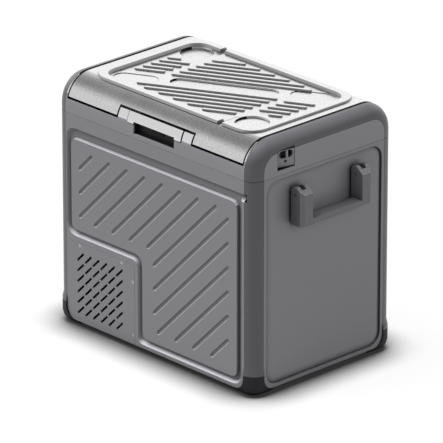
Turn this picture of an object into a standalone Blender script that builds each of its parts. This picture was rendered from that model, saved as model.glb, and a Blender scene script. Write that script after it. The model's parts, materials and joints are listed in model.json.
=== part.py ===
"""Compressor cooler fridge: a plastic box with a hinged lid, a latch, two swing handles and its cooling unit.

Metres, +Z up, X along the front, +Y to the back. The origin is on the floor under the middle of the box.
"""

import math

import bmesh
import bpy
from mathutils import Matrix
from mathutils import Vector

# Box, over its outer faces
BODY_LENGTH = 0.484
BODY_WIDTH = 0.3255
BODY_HEIGHT = 0.4515
CORNER_RADIUS = 0.023
TOP_RADIUS = 0.0505
WALL = 0.003
PANEL_THICKNESS = 0.008
FIT = 0.0003

# Lid line and seam, counted down from the top plane
LID_HEIGHT = 0.0355
LID_GAP = 0.004
BAND_HEIGHT = 0.029
LEDGE_DROP = 0.0225

# Base and feet
FOOT_PAD = 0.0047
FOOT_HEIGHT = 0.0387
FOOT_PROUD = 0.0025
FOOT_LENGTH = 0.064
FOOT_ROUND = 0.020
FOOT_INNER_RADIUS = 0.0135
BASE_THICKNESS = 0.0055
BASE_INSET = 0.007
POST_FLARE_RISE = 0.015

# Front panel: raised field, channel round it, diagonal grooves
PANEL_CORNER = 0.022
CHANNEL_DEPTH = 0.0055
CHANNEL_WIDTH = 0.012
CHANNEL_TOP_WIDTH = 0.0195
CHANNEL_TOP_DROP = 0.0235
CHANNEL_CORNER = 0.020
CHANNEL_OUTLET = 0.0055
VENT_MARGIN = 0.019
FIELD_DRAFT = 0.002
FIELD_LEFT_INSET = 0.0135
FIELD_RIGHT_INSET = 0.0175
FIELD_BOTTOM_RISE = 0.0183
FIELD_CORNER = 0.012
GROOVE_COUNT = 14
GROOVE_PITCH = 0.0436
GROOVE_FIRST = 0.0293
GROOVE_MARGIN = 0.019
GROOVE_VENT_MARGIN = 0.027
GROOVE_RADIUS = 0.005
GROOVE_DEPTH = 0.0025

# Vent cover
VENT_RIGHT = 0.1705
VENT_HEIGHT = 0.146
VENT_THICKNESS = 0.004
VENT_LIP = 0.012
SLOT_ROWS = 6
SLOT_PITCH = 0.0195
SLOT_BRIDGE = 0.004
SLOT_WIDTH = 0.0042
SLOT_FIELD_INSET = 0.0245
SLOT_FIELD_RISE = 0.0126
SCREW_HEAD_RADIUS = 0.003
SCREW_SHANK_RADIUS = 0.0015
SCREW_EDGE = 0.0055
SCREW_ALONG = (0.0323, 0.1372)
SCREW_UP = (0.1135, 0.0158)

# End and rear panels
PILLOW_RIM = 0.0057
PILLOW_DEPTH = 0.0045
PILLOW_DROP = 0.0005
PILLOW_SLOPE = 0.014
PILLOW_CORNER = 0.024
REAR_FIELD_INSET = 0.022
REAR_FIELD_DEPTH = 0.0025
EXHAUST_SLOTS = 6
EXHAUST_PITCH = 0.013
EXHAUST_LENGTH = 0.105
EXHAUST_HEIGHT = 0.006

# Tub and insulation
FOAM_END = 0.0377
FOAM_SIDE = 0.02645
TUB_WALL = 0.002
TUB_FLANGE = 0.012
TUB_CORNER = 0.025
TUB_DRAFT = 0.001
FLOOR_FOAM = 0.045
BAY_WIDTH = 0.160
BAY_HEIGHT = 0.197
STEP_FOAM = 0.022
SLEEVE_THICKNESS = 0.0012
SLEEVE_HEIGHT = 0.130
FOAM_GAP = 0.0018

# Cooling unit in the bay
FAN_SIZE = 0.092
FAN_DEPTH = 0.025
FAN_RIM = 0.003
FAN_HUB = 0.018
FAN_BLADES = 7
BLADE_PITCH = math.radians(35)
BLADE_THICKNESS = 0.0012
BLADE_GAP = 0.0012
CONDENSER_LENGTH = 0.112
CONDENSER_DEPTH = 0.036
CONDENSER_HEIGHT = 0.120
CONDENSER_FINS = 9
FIN_GAP = 0.006
COMPRESSOR_RADIUS = 0.048
COMPRESSOR_HEIGHT = 0.135
MOUNT_RADIUS = 0.006
MOUNT_HEIGHT = 0.012
PIPE_RADIUS = 0.003
BOARD_LENGTH = 0.100
BOARD_HEIGHT = 0.080
BOARD_THICKNESS = 0.0016
BOARD_INSET = 0.004
BOARD_RISE = 0.050
CHIP_SIZES = (0.022, 0.016)
CHIP_HEIGHT = 0.012

# Lid
LID_CLEARANCE = 0.003
LID_WALL = 0.003
LID_CEILING = 0.0105
LID_CORE_GAP = 0.008
PLATEAU_SIDE_INSET = 0.015
PLATEAU_END_INSET = 0.0365
PLATEAU_RISE = 0.003
PLATEAU_CORNER = 0.034
TRAY_RIM = 0.0165
TRAY_DEPTH = 0.005
BAR_ANGLE = math.radians(28)
BAR_PITCH = 0.0167
BAR_WIDTH = 0.008
BAR_RISE = 0.0025
PILL_LENGTH = 0.190
PILL_WIDTH = 0.031
PILL_DEPTH = 0.0025
DISH_RADIUS = 0.030
DISH_DEPTH = 0.003
PAD_DEPTH = 0.001
DRAIN_WIDTH = 0.011
LINER_FRONT_INSET = 0.0178
PLUG_DEPTH = 0.017
PLUG_CLEARANCE = 0.004
GASKET_WIDTH = 0.009

# Latch and finger pocket
NOTCH_HEIGHT = 0.017
LATCH_WIDTH = 0.130
LATCH_RISE = 0.0135
LATCH_OVERLAP = 0.004
LATCH_CUT = 0.0037
LATCH_PROUD = 0.0012
LATCH_THICKNESS = 0.004
LATCH_PIVOT_RISE = 0.007
LATCH_PIVOT_INSET = 0.007
LATCH_PIN_RADIUS = 0.002
LATCH_EAR = 0.004
LATCH_EAR_RADIUS = 0.0036
LATCH_EAR_SPREAD = 0.040
LATCH_CLEARANCE = 0.0012
LATCH_GAP = 0.002
TAB_WIDTH = 0.022
TAB_GAP = 0.0035
POCKET_WIDTH = 0.0995
POCKET_DROP = 0.0212
POCKET_DEPTH = 0.010
NIB_WIDTH = 0.028
NIB_GAP = 0.0005

# Lid hinges
HINGE_SPREAD = 0.260
HINGE_WIDTH = 0.052
KNUCKLE_RADIUS = 0.0044
KNUCKLE_WIDTH = 0.017
KNUCKLE_GAP = 0.0005
HINGE_PIN_RADIUS = 0.0016
LEAF_THICKNESS = 0.0022
LEAF_HEIGHT = 0.020

# Handles
HANDLE_WIDTH = 0.164
HANDLE_REACH = 0.0316
HANDLE_ARM = 0.0245
HANDLE_CHAMFER = 0.006
HANDLE_LOW_DROP = 0.0905
HANDLE_PIVOT_DROP = 0.0365
HANDLE_PIVOT_REACH = 0.0145
HANDLE_BOSS = 0.014
HANDLE_SHOULDER = 0.0175
HANDLE_SLOPE_DROP = 0.0115
GRIP_HEIGHT = 0.011
GRIP_DEPTH = 0.0226
HANDLE_BACK_GAP = 0.0045
TONGUE_WIDTH = 0.0092
TONGUE_RADIUS = 0.008
TONGUE_GAP = 0.0005
HANDLE_PIN_RADIUS = 0.003

# Inlet on the right end
INLET_OFFSET = 0.0893
INLET_WIDTH = 0.040
INLET_RISE = 0.009
INLET_HEIGHT = 0.036
INLET_DEPTH = 0.0085
INLET_BODY = 0.020
PLUG_LENGTH = 0.025
PLUG_HEIGHT = 0.013
PLUG_RECESS = 0.006
PIN_RADIUS = 0.0013

# Controls on the left end
BEZEL_MARGIN = 0.0052
BEZEL_GAP = 0.0073
BEZEL_HEIGHT = 0.026
BEZEL_PROUD = 0.0015
BEZEL_DEPTH = 0.006
DISPLAY_LENGTH = 0.046
DISPLAY_HEIGHT = 0.016
DISPLAY_DEPTH = 0.002
BUTTON_RADIUS = 0.0042
BUTTON_CLEARANCE = 0.0004
BUTTON_PITCH = 0.0125
BUTTON_PROUD = 0.002
BUTTON_NAMES = ("button_power", "button_up", "button_down", "button_mode")

# Facets along a quarter circle
TOP_STEPS = 8
CORNER_STEPS = 5
FINE_STEPS = 3

# Places that follow from the sizes
half_length = BODY_LENGTH / 2
half_width = BODY_WIDTH / 2
post_x = half_length - CORNER_RADIUS
post_y = half_width - CORNER_RADIUS
arc_y = half_width - TOP_RADIUS
arc_z = BODY_HEIGHT - TOP_RADIUS
lid_edge = BODY_HEIGHT - LID_HEIGHT
rim_edge = lid_edge - LID_GAP
seam = lid_edge - BAND_HEIGHT
ledge = lid_edge - LEDGE_DROP
base_low = FOOT_PAD + FIT
base_top = base_low + BASE_THICKNESS
panel_low = base_top + FIT
panel_high = seam - FIT
end_top = BODY_HEIGHT - CORNER_RADIUS - FIT
panel_x = post_x - FIT
panel_y = post_y - FIT
inner_x = half_length - PANEL_THICKNESS - FIT
inner_y = half_width - PANEL_THICKNESS - FIT
cheek_x = panel_x - WALL
vent_right = VENT_RIGHT - panel_x
vent_top = panel_low + VENT_HEIGHT
tub_x = inner_x - FOAM_END - TUB_WALL
tub_y = inner_y - FOAM_SIDE - TUB_WALL
bay_right = BAY_WIDTH - inner_x
step_x = bay_right + STEP_FOAM
step_z = base_top + BAY_HEIGHT + STEP_FOAM
tub_floor = base_top + FLOOR_FOAM
flange_top = ledge + FIT + TUB_WALL
lid_x = cheek_x - LID_CLEARANCE
liner_top = lid_edge - FIT
liner_low = liner_top - WALL
hinge_y = half_width + FOOT_PROUD - KNUCKLE_RADIUS - FIT
tray_floor = BODY_HEIGHT + PLATEAU_RISE - TRAY_DEPTH
end_face = half_length - PILLOW_DROP
handle_pivot_x = half_length + HANDLE_PIVOT_REACH
handle_pivot_z = seam - HANDLE_PIVOT_DROP
fan_x = (bay_right - inner_x) / 2
fan_z = panel_low + VENT_HEIGHT / 2
fan_bore = FAN_SIZE / 2 - FAN_RIM
nib_low = lid_edge - LATCH_OVERLAP + LATCH_CUT + FIT
notch_x = LATCH_WIDTH / 2 + LATCH_GAP + TAB_WIDTH + TAB_GAP
slot_length = SLOT_PITCH * math.sqrt(2) - SLOT_BRIDGE
button_room = BUTTON_RADIUS + 3 * BUTTON_CLEARANCE
button_row = BUTTON_PITCH * (len(BUTTON_NAMES) - 1) + 2 * button_room
bezel_length = 2 * BEZEL_MARGIN + button_row + BEZEL_GAP + DISPLAY_LENGTH


def start_scene():
    """An empty scene with one collection for the parts and one for the cutters."""
    for old in list(bpy.data.objects):
        bpy.data.objects.remove(old, do_unlink=True)
    for name in ("compressor_cooler", "cutters"):
        bpy.context.scene.collection.children.link(bpy.data.collections.new(name))


def make_material(name, colour, roughness, metallic=0.0):
    material = bpy.data.materials.new(name)
    material.use_nodes = True
    shader = material.node_tree.nodes["Principled BSDF"]
    shader.inputs["Base Color"].default_value = (*colour, 1.0)
    shader.inputs["Roughness"].default_value = roughness
    shader.inputs["Metallic"].default_value = metallic
    return material


def add_object(name, bm, collection):
    bmesh.ops.recalc_face_normals(bm, faces=bm.faces[:])
    mesh = bpy.data.meshes.new(name)
    bm.to_mesh(mesh)
    bm.free()
    obj = bpy.data.objects.new(name, mesh)
    bpy.data.collections[collection].objects.link(obj)
    return obj


def place_of(empty):
    """An empty's place in box coordinates, also where it rides on another empty."""
    return empty.location + (place_of(empty.parent) if empty.parent else Vector())


def part(name, bm, material, carrier=None):
    """A sub-part from a mesh in box coordinates. A carrier is the empty on the axis that it turns about."""
    if carrier:
        bmesh.ops.translate(bm, vec=-place_of(carrier), verts=bm.verts[:])
    obj = add_object(name, bm, "compressor_cooler")
    obj.parent = carrier
    obj.data.materials.append(bpy.data.materials[material])
    obj.data.shade_smooth()
    obj.data.set_sharp_from_angle(angle=math.radians(35))
    return obj


def axis_empty(name, place):
    empty = bpy.data.objects.new(name, None)
    empty.location = place
    bpy.data.collections["compressor_cooler"].objects.link(empty)
    return empty


def combine(target, bm, operation):
    """Cuts from, adds to or keeps of a part, with a hidden helper object."""
    helper = add_object(f"{target.name}_{operation.lower()}", bm, "cutters")
    helper.hide_render = True
    helper.display_type = "WIRE"
    modifier = target.modifiers.new(helper.name, "BOOLEAN")
    modifier.operation = operation
    modifier.object = helper


def cut(target, bm):
    combine(target, bm, "DIFFERENCE")


def join(target, bm):
    combine(target, bm, "UNION")


def keep(target, bm):
    combine(target, bm, "INTERSECT")


def placed(point, height, axis):
    """A point of an outline, at a height along the axis that the outline is square to."""
    u, v = point
    return {"X": (height, u, v), "Y": (u, height, v), "Z": (u, v, height)}[axis]


def loft(rings, bm=None):
    """A closed body through rings that have equally many points."""
    bm = bm or bmesh.new()
    rows = [[bm.verts.new(point) for point in ring] for ring in rings]
    count = len(rows[0])
    for low, high in zip(rows, rows[1:]):
        for i in range(count):
            j = (i + 1) % count
            bm.faces.new((low[i], low[j], high[j], high[i]))
    bm.faces.new(rows[0][::-1])
    bm.faces.new(rows[-1])
    return bm


def prism(outline, low, high, axis, bm=None):
    """An outline's face, drawn out along an axis."""
    bm = bm or bmesh.new()
    face = bm.faces.new([bm.verts.new(placed(point, low, axis)) for point in outline])
    drawn = bmesh.ops.extrude_face_region(bm, geom=[face])["geom"]
    tops = [item for item in drawn if isinstance(item, bmesh.types.BMVert)]
    bmesh.ops.translate(bm, vec=placed((0, 0), high - low, axis), verts=tops)
    return bm


def box(low, high, bm=None):
    bm = bm or bmesh.new()
    low = Vector(low)
    high = Vector(high)
    matrix = Matrix.Translation((low + high) / 2) @ Matrix.Diagonal((*(high - low), 1))
    bmesh.ops.create_cube(bm, size=1, matrix=matrix)
    return bm


def cylinder(centre, axis, radius, length, sides=20, bm=None, far_radius=None):
    """A round bar along an axis, about its centre."""
    bm = bm or bmesh.new()
    turn = {
        "X": Matrix.Rotation(math.pi / 2, 4, "Y"),
        "Y": Matrix.Rotation(-math.pi / 2, 4, "X"),
        "Z": Matrix.Identity(4),
    }[axis]
    bmesh.ops.create_cone(
        bm,
        cap_ends=True,
        segments=sides,
        radius1=radius,
        radius2=radius if far_radius is None else far_radius,
        depth=length,
        matrix=Matrix.Translation(centre) @ turn,
    )
    return bm


def rounded(corners, steps=CORNER_STEPS, offset=0.0):
    """Points of a counter-clockwise outline with corners (u, v, radius), its sides moved out by an offset."""
    points = []
    for i, (u, v, radius) in enumerate(corners):
        here = Vector((u, v))
        before = (here - Vector(corners[i - 1][:2])).normalized()
        after = (Vector(corners[(i + 1) % len(corners)][:2]) - here).normalized()
        out_before = Vector((before.y, -before.x))
        out_after = Vector((after.y, -after.x))
        here += (out_before + out_after) * offset / (1 + out_before.dot(out_after))
        turn = math.atan2(before.cross(after), before.dot(after))
        side = math.copysign(1, turn)
        if not radius:
            points.append(tuple(here))
            continue
        size = max(radius + side * offset, FIT)
        start = here - before * size * math.tan(abs(turn) / 2)
        centre = start - out_before * size * side
        arm = start - centre
        for step in range(steps + 1):
            points.append(tuple(centre + Matrix.Rotation(turn * step / steps, 2) @ arm))
    return points


def rectangle(u_low, v_low, u_high, v_high, radius=0.0):
    corners = ((u_low, v_low), (u_high, v_low), (u_high, v_high), (u_low, v_high))
    return [(u, v, radius) for u, v in corners]


def stadium(centre, angle, length, width):
    """A bar with round ends, as corners for an outline."""
    along = Vector((math.cos(angle), math.sin(angle))) * length / 2
    across = Vector((-along.y, along.x)).normalized() * width / 2
    middle = Vector(centre)
    signs = ((-1, -1), (1, -1), (1, 1), (-1, 1))
    points = [middle + u * along + v * across for u, v in signs]
    return [(*point, width / 2 * 0.98) for point in points]


def tapered(corners, low, high, change, axis, steps=CORNER_STEPS, bm=None):
    """A body over an outline whose sides move out by a change from low to high."""
    rings = [rounded(corners, steps), rounded(corners, steps, change)]
    heights = (low, high)
    return loft([[placed(p, h, axis) for p in ring] for ring, h in zip(rings, heights)], bm)


def top_arc(angle, inset=0.0, side=-1):
    """A point (y, z) of the rounded front (side -1) or rear top edge, at an angle above the level."""
    radius = TOP_RADIUS - inset
    return side * (arc_y + radius * math.cos(angle)), arc_z + radius * math.sin(angle)


def arc_angle(height):
    return math.asin((height - arc_z) / TOP_RADIUS)


def top_strip(first, last, outer, inner, side=-1, steps=4):
    """A strip (y, z) along the rounded top edge between two angles, from one inset to another."""
    angles = [first + (last - first) * i / steps for i in range(steps + 1)]
    return [top_arc(a, outer, side) for a in angles] + [top_arc(a, inner, side) for a in reversed(angles)]


def body_outline(low, inset=0.0, ceiling=None):
    """The box's outline (y, z) seen from an end, above a height."""
    first = max(arc_angle(low), 0.0) if low > arc_z - TOP_RADIUS else 0.0
    angles = [first + (math.pi / 2 - first) * i / TOP_STEPS for i in range(TOP_STEPS + 1)]
    front = [top_arc(a, inset) for a in angles]
    rear = [top_arc(a, inset, 1) for a in reversed(angles)]
    points = front + rear
    if low < arc_z:
        points = [(-half_width + inset, low)] + points + [(half_width - inset, low)]
    if ceiling is not None:
        points = [(y, min(z, ceiling)) for y, z in points]
    return points


def build_base():
    corner = CORNER_RADIUS - BASE_INSET
    plan = rectangle(BASE_INSET - half_length, BASE_INSET - half_width, half_length - BASE_INSET,
                     half_width - BASE_INSET, corner)
    part("base_tray", prism(rounded(plan), base_low, base_top, "Z"), "dark_plastic")
    panel_front = rectangle(-post_x, base_top, post_x, seam, PANEL_CORNER)
    panel_end = rectangle(-post_y, base_top, post_y, seam, PANEL_CORNER)
    reach = half_length + half_width
    for side_x, side_y, name in (
        (-1, -1, "foot_front_left"),
        (1, -1, "foot_front_right"),
        (-1, 1, "foot_rear_left"),
        (1, 1, "foot_rear_right"),
    ):
        outer_x = half_length + FOOT_PROUD
        outer_y = half_width + FOOT_PROUD
        corners = [
            (outer_x - FOOT_LENGTH, outer_y - FOOT_LENGTH, FOOT_INNER_RADIUS),
            (outer_x, outer_y - FOOT_LENGTH, FOOT_INNER_RADIUS),
            (outer_x, outer_y, CORNER_RADIUS + FOOT_PROUD),
            (outer_x - FOOT_LENGTH, outer_y, FOOT_INNER_RADIUS),
        ]
        rings = []
        for step in range(FINE_STEPS + 1):
            angle = math.pi / 2 * step / FINE_STEPS
            ring = rounded(corners, CORNER_STEPS, FOOT_ROUND * (math.sin(angle) - 1))
            rings.append([(side_x * x, side_y * y, FOOT_ROUND * (1 - math.cos(angle))) for x, y in ring])
        rings.append([(x, y, FOOT_HEIGHT) for x, y, z in rings[-1]])
        foot = part(name, loft(rings), "rubber")
        cut(foot, prism(rounded(plan, CORNER_STEPS, FIT), FOOT_PAD, seam, "Z"))
        cut(foot, prism(rounded(panel_front), -reach, reach, "Y"))
        cut(foot, prism(rounded(panel_end), -reach, reach, "X"))


def quarter_ring(side_x, side_y, radius, height):
    """The section of a corner post: a quarter of a ring about the corner's centre."""
    angles = [math.pi / 2 * i / CORNER_STEPS for i in range(CORNER_STEPS + 1)]
    outer = [(radius * math.cos(a), radius * math.sin(a)) for a in angles]
    inner = CORNER_RADIUS - WALL
    ring = outer + [(inner * math.cos(a), inner * math.sin(a)) for a in reversed(angles)]
    return [(side_x * (post_x + x), side_y * (post_y + y), height) for x, y in ring]


def build_posts():
    low = FOOT_HEIGHT + FIT
    flared = CORNER_RADIUS + FOOT_PROUD
    levels = ((low, flared), (low + POST_FLARE_RISE / 3, flared),
              (low + POST_FLARE_RISE, CORNER_RADIUS), (panel_high, CORNER_RADIUS))
    outlet_top = seam - CHANNEL_TOP_DROP
    outlet_low = outlet_top - CHANNEL_TOP_WIDTH + CHANNEL_DEPTH
    for side_x, side_y, name in (
        (-1, -1, "corner_post_front_left"),
        (1, -1, "corner_post_front_right"),
        (-1, 1, "corner_post_rear_left"),
        (1, 1, "corner_post_rear_right"),
    ):
        post = part(name, loft([quarter_ring(side_x, side_y, r, z) for z, r in levels]), "dark_plastic")
        if name == "corner_post_front_right":
            cut(post, box((post_x - WALL, -half_width - WALL, outlet_low),
                          (post_x + CHANNEL_OUTLET, -post_y - CORNER_RADIUS / 2, outlet_top)))


def arch_section(y, z, out_y, out_z, side):
    """The quarter-round section of an arch at one point of the box's outline."""
    angles = [math.pi / 2 * i / CORNER_STEPS for i in range(CORNER_STEPS + 1)]
    ring = [(math.sin(a) * CORNER_RADIUS, CORNER_RADIUS * (1 - math.cos(a))) for a in angles]
    inner = CORNER_RADIUS - WALL
    ring += [(math.sin(a) * inner, CORNER_RADIUS - inner * math.cos(a)) for a in reversed(angles)]
    return [(side * (post_x + x), y - out_y * depth, z - out_z * depth) for x, depth in ring]


def build_arches():
    path = [(-half_width, seam + FIT, -1.0, 0.0)]
    for step in range(2 * TOP_STEPS + 2):
        side = -1 if step <= TOP_STEPS else 1
        turned = step if side < 0 else 2 * TOP_STEPS + 1 - step
        angle = math.pi / 2 * turned / TOP_STEPS
        path.append((*top_arc(angle, 0.0, side), side * math.cos(angle), math.sin(angle)))
    path.append((half_width, seam + FIT, 1.0, 0.0))
    for side, name in ((-1, "arch_left"), (1, "arch_right")):
        arch = part(name, loft([arch_section(*place, side) for place in path]), "dark_plastic")
        if side > 0:
            cut(arch, inlet_opening())


def field_outlines():
    """Corners of the channel's outer edge and of the raised field on the front panel."""
    left = FIELD_LEFT_INSET - panel_x
    right = panel_x - FIELD_RIGHT_INSET
    top = seam - CHANNEL_TOP_DROP - CHANNEL_TOP_WIDTH
    low = panel_low + FIELD_BOTTOM_RISE
    inner_left = vent_right + VENT_MARGIN
    inner_low = vent_top + VENT_MARGIN + WALL
    field = [
        (left, inner_low, FIELD_CORNER),
        (inner_left, inner_low, FIELD_CORNER + CHANNEL_DEPTH),
        (inner_left, low, FIELD_CORNER),
        (right, low, FIELD_CORNER),
        (right, top, FIELD_CORNER),
        (left, top, FIELD_CORNER),
    ]
    channel_top = top + CHANNEL_TOP_WIDTH
    outlet = channel_top - CHANNEL_TOP_WIDTH + CHANNEL_DEPTH
    far = half_length
    channel = [
        (left - CHANNEL_WIDTH, inner_low - CHANNEL_WIDTH, CHANNEL_CORNER),
        (inner_left - CHANNEL_WIDTH, inner_low - CHANNEL_WIDTH, FIELD_CORNER),
        (inner_left - CHANNEL_WIDTH, low - CHANNEL_WIDTH, FIELD_CORNER),
        (right + CHANNEL_WIDTH, low - CHANNEL_WIDTH, CHANNEL_CORNER),
        (right + CHANNEL_WIDTH, outlet, 0),
        (far, outlet, 0),
        (far, channel_top, 0),
        (left - CHANNEL_WIDTH, channel_top, CHANNEL_CORNER),
    ]
    return channel, field


def groove_ends(field):
    """The ends (x, z) of each diagonal groove, inside a margin from the raised field's edges."""
    left = field[0][0] + GROOVE_MARGIN
    right = field[3][0] - GROOVE_MARGIN
    top = field[4][1] - GROOVE_MARGIN
    low = field[2][1] + GROOVE_MARGIN
    vent_x = field[1][0] + GROOVE_VENT_MARGIN
    vent_z = field[1][1] + GROOVE_MARGIN
    first = top - left - GROOVE_FIRST - GROOVE_RADIUS
    ends = []
    for k in range(GROOVE_COUNT):
        rise = first - GROOVE_PITCH * k
        start = max(left, vent_z - rise)
        if start > vent_x:
            start = max(vent_x, low - rise)
        end = min(right, top - rise)
        if end - start > GROOVE_RADIUS:
            ends.append(((start, start + rise), (end, end + rise)))
    return ends


def build_front_panel():
    front = -half_width
    back = front + PANEL_THICKNESS
    floor = front + CHANNEL_DEPTH
    channel, field = field_outlines()
    plate = [
        (-panel_x, vent_top + FIT, 0),
        (vent_right + FIT, vent_top + FIT, 0),
        (vent_right + FIT, panel_low, 0),
        (panel_x, panel_low, PANEL_CORNER),
        (panel_x, panel_high, 0),
        (-panel_x, panel_high, 0),
    ]
    panel = part("front_panel", prism(rounded(plate), front, back, "Y"), "panel_grey")
    cut(panel, channel_cutter(channel, front, floor))
    join(panel, field_body(field, front, floor))
    lip_front = front + VENT_THICKNESS + FIT
    root = CHANNEL_WIDTH / 2
    lip = [
        (-panel_x, vent_top - VENT_LIP, 0),
        (vent_right - VENT_LIP, vent_top - VENT_LIP, 0),
        (vent_right - VENT_LIP, panel_low, 0),
        (vent_right + root, panel_low, 0),
        (vent_right + root, vent_top + root, 0),
        (-panel_x, vent_top + root, 0),
    ]
    join(panel, prism(rounded(lip), lip_front, back, "Y"))
    outlet_top = channel[6][1] - CHANNEL_DEPTH
    outlet_low = channel[5][1] + FIT
    reach = CHANNEL_OUTLET + WALL / 2
    behind_post = 2 * FIT - post_y - math.sqrt((CORNER_RADIUS - WALL) ** 2 - reach ** 2)
    tongue_front = max(floor + FIT, behind_post)
    join(panel, box((panel_x - WALL, tongue_front, outlet_low), (post_x + reach, back, outlet_top)))
    grooves = bmesh.new()
    for start, end in groove_ends(field):
        groove_cutter(start, end, front, grooves)
    cut(panel, grooves)
    for x, z in vent_screws():
        cut(panel, cylinder((x, back, z), "Y", SCREW_SHANK_RADIUS + FIT, 4 * PANEL_THICKNESS, 10))


def channel_cutter(channel, front, floor):
    """The channel's hollow, before the field is set in it: sides sloped at 45 degrees."""
    deep = floor - front
    rings = [rounded(channel, FINE_STEPS, -deep), rounded(channel, FINE_STEPS), rounded(channel, FINE_STEPS)]
    heights = (floor, front, front - WALL)
    return loft([[placed(p, y, "Y") for p in ring] for ring, y in zip(rings, heights)])


def field_body(field, front, floor):
    wide = rounded(field, FINE_STEPS, FIELD_DRAFT)
    rings = [wide, wide, rounded(field, FINE_STEPS)]
    heights = (floor + WALL / 3, floor, front)
    return loft([[placed(p, y, "Y") for p in ring] for ring, y in zip(rings, heights)])


def groove_cutter(start, end, front, bm):
    """A round bar with tapered ends, laid along a groove with only its lower part in the panel."""
    direction = (Vector(end) - Vector(start)).normalized()
    across = Vector((-direction.y, direction.x))
    lift = GROOVE_RADIUS - GROOVE_DEPTH
    rings = []
    for centre, scale in (
        (Vector(start), 0.35),
        (Vector(start) + direction * GROOVE_RADIUS * 0.35, 0.78),
        (Vector(start) + direction * GROOVE_RADIUS, 1.0),
        (Vector(end) - direction * GROOVE_RADIUS, 1.0),
        (Vector(end) - direction * GROOVE_RADIUS * 0.35, 0.78),
        (Vector(end), 0.35),
    ):
        ring = []
        for i in range(8):
            angle = 2 * math.pi * (i + 0.5) / 8
            flat = centre + across * GROOVE_RADIUS * scale * math.cos(angle)
            deep = GROOVE_RADIUS * math.sin(angle) * (0.6 + 0.4 * scale) - lift
            ring.append((flat.x, front + deep, flat.y))
        rings.append(ring)
    loft(rings, bm)


def vent_screws():
    """Places (x, z) of the screws along the vent cover's top and right edges."""
    across = vent_right - SCREW_EDGE
    top = vent_top - SCREW_EDGE
    return [(along - panel_x, top) for along in SCREW_ALONG] + [(across, panel_low + up) for up in SCREW_UP]


def build_vent_cover():
    front = -half_width
    back = front + VENT_THICKNESS
    corners = [
        (-panel_x, panel_low, PANEL_CORNER),
        (vent_right - FIT, panel_low, 0),
        (vent_right - FIT, vent_top - FIT, 0),
        (-panel_x, vent_top - FIT, 0),
    ]
    cover = part("vent_cover", prism(rounded(corners), front, back, "Y"), "panel_grey")
    slots = bmesh.new()
    left = -panel_x + SLOT_FIELD_INSET
    low = panel_low + SLOT_FIELD_RISE
    for row in range(SLOT_ROWS):
        for column in range(SLOT_ROWS):
            centre = (left + SLOT_PITCH * (column + 0.5), low + SLOT_PITCH * (row + 0.5))
            slot = stadium(centre, math.pi / 4, slot_length, SLOT_WIDTH)
            prism([corner[:2] for corner in slot], front - WALL, back + WALL, "Y", slots)
    cut(cover, slots)
    for number, (x, z) in enumerate(vent_screws(), 1):
        head = SCREW_HEAD_RADIUS
        middle = (front + back) / 2
        cut(cover, cylinder((x, middle - VENT_THICKNESS / 2, z), "Y", head + FIT, VENT_THICKNESS, 12))
        cut(cover, cylinder((x, middle, z), "Y", SCREW_SHANK_RADIUS + FIT, 2 * VENT_THICKNESS, 10))
        head_front = front + FIT
        head_back = middle - FIT
        screw = part(f"vent_screw_{number}", cylinder((x, (head_front + head_back) / 2, z), "Y", head,
                                                     head_back - head_front, 12), "steel")
        tip = front + PANEL_THICKNESS - FIT
        join(screw, cylinder((x, (head_front + tip) / 2 + FIT, z), "Y", SCREW_SHANK_RADIUS,
                             tip - head_front - 2 * FIT, 10))


def build_end_panels():
    corners = [
        (-panel_y, panel_low, PANEL_CORNER),
        (panel_y, panel_low, PANEL_CORNER),
        (panel_y, panel_high, 0),
        (-panel_y, panel_high, 0),
    ]
    rim = PILLOW_RIM
    field = rectangle(rim - panel_y, panel_low + rim, panel_y - rim, panel_high - rim, PILLOW_CORNER)
    for side, name in ((-1, "left_end_panel"), (1, "right_end_panel")):
        face = side * half_length
        back = side * (half_length - PANEL_THICKNESS)
        panel = part(name, prism(rounded(corners), back, face, "X"), "panel_grey")
        floor = side * (half_length - PILLOW_DEPTH)
        cut(panel, prism(rounded(field), floor, face + side * WALL, "X"))
        join(panel, pillow_body(field, floor, side))


def pillow_body(field, floor, side):
    """The raised middle of an end panel, whose edges ease down to a narrow gap inside the rim."""
    root = floor - side * WALL / 2
    rings = [(rounded(field, CORNER_STEPS, -FIT), root), (rounded(field, CORNER_STEPS, -FIT), floor)]
    for share in (0.12, 0.32, 0.62, 1.0):
        rise = math.sin(math.pi / 2 * share)
        height = floor + (side * end_face - floor) * rise
        rings.append((rounded(field, CORNER_STEPS, -PILLOW_SLOPE * share), height))
    return loft([[placed(p, x, "X") for p in ring] for ring, x in rings])


def build_rear_panel():
    face = half_width
    back = face - PANEL_THICKNESS
    corners = [
        (-panel_x, panel_low, PANEL_CORNER),
        (panel_x, panel_low, PANEL_CORNER),
        (panel_x, panel_high, 0),
        (-panel_x, panel_high, 0),
    ]
    panel = part("rear_panel", prism(rounded(corners), back, face, "Y"), "panel_grey")
    inset = REAR_FIELD_INSET
    field = rectangle(inset - panel_x, panel_low + inset, panel_x - inset, panel_high - inset, CHANNEL_CORNER)
    edge = rounded(field, FINE_STEPS)
    rings = [rounded(field, FINE_STEPS, -REAR_FIELD_DEPTH), edge, edge]
    heights = (face - REAR_FIELD_DEPTH, face, face + WALL)
    cut(panel, loft([[placed(p, y, "Y") for p in ring] for ring, y in zip(rings, heights)]))
    slots = bmesh.new()
    for row in range(EXHAUST_SLOTS):
        z = fan_z + EXHAUST_PITCH * (row - (EXHAUST_SLOTS - 1) / 2)
        slot = rectangle(fan_x - EXHAUST_LENGTH / 2, z - EXHAUST_HEIGHT / 2, fan_x + EXHAUST_LENGTH / 2,
                         z + EXHAUST_HEIGHT / 2, EXHAUST_HEIGHT * 0.45)
        prism(rounded(slot, FINE_STEPS), back - WALL, face + WALL, "Y", slots)
    cut(panel, slots)


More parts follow.
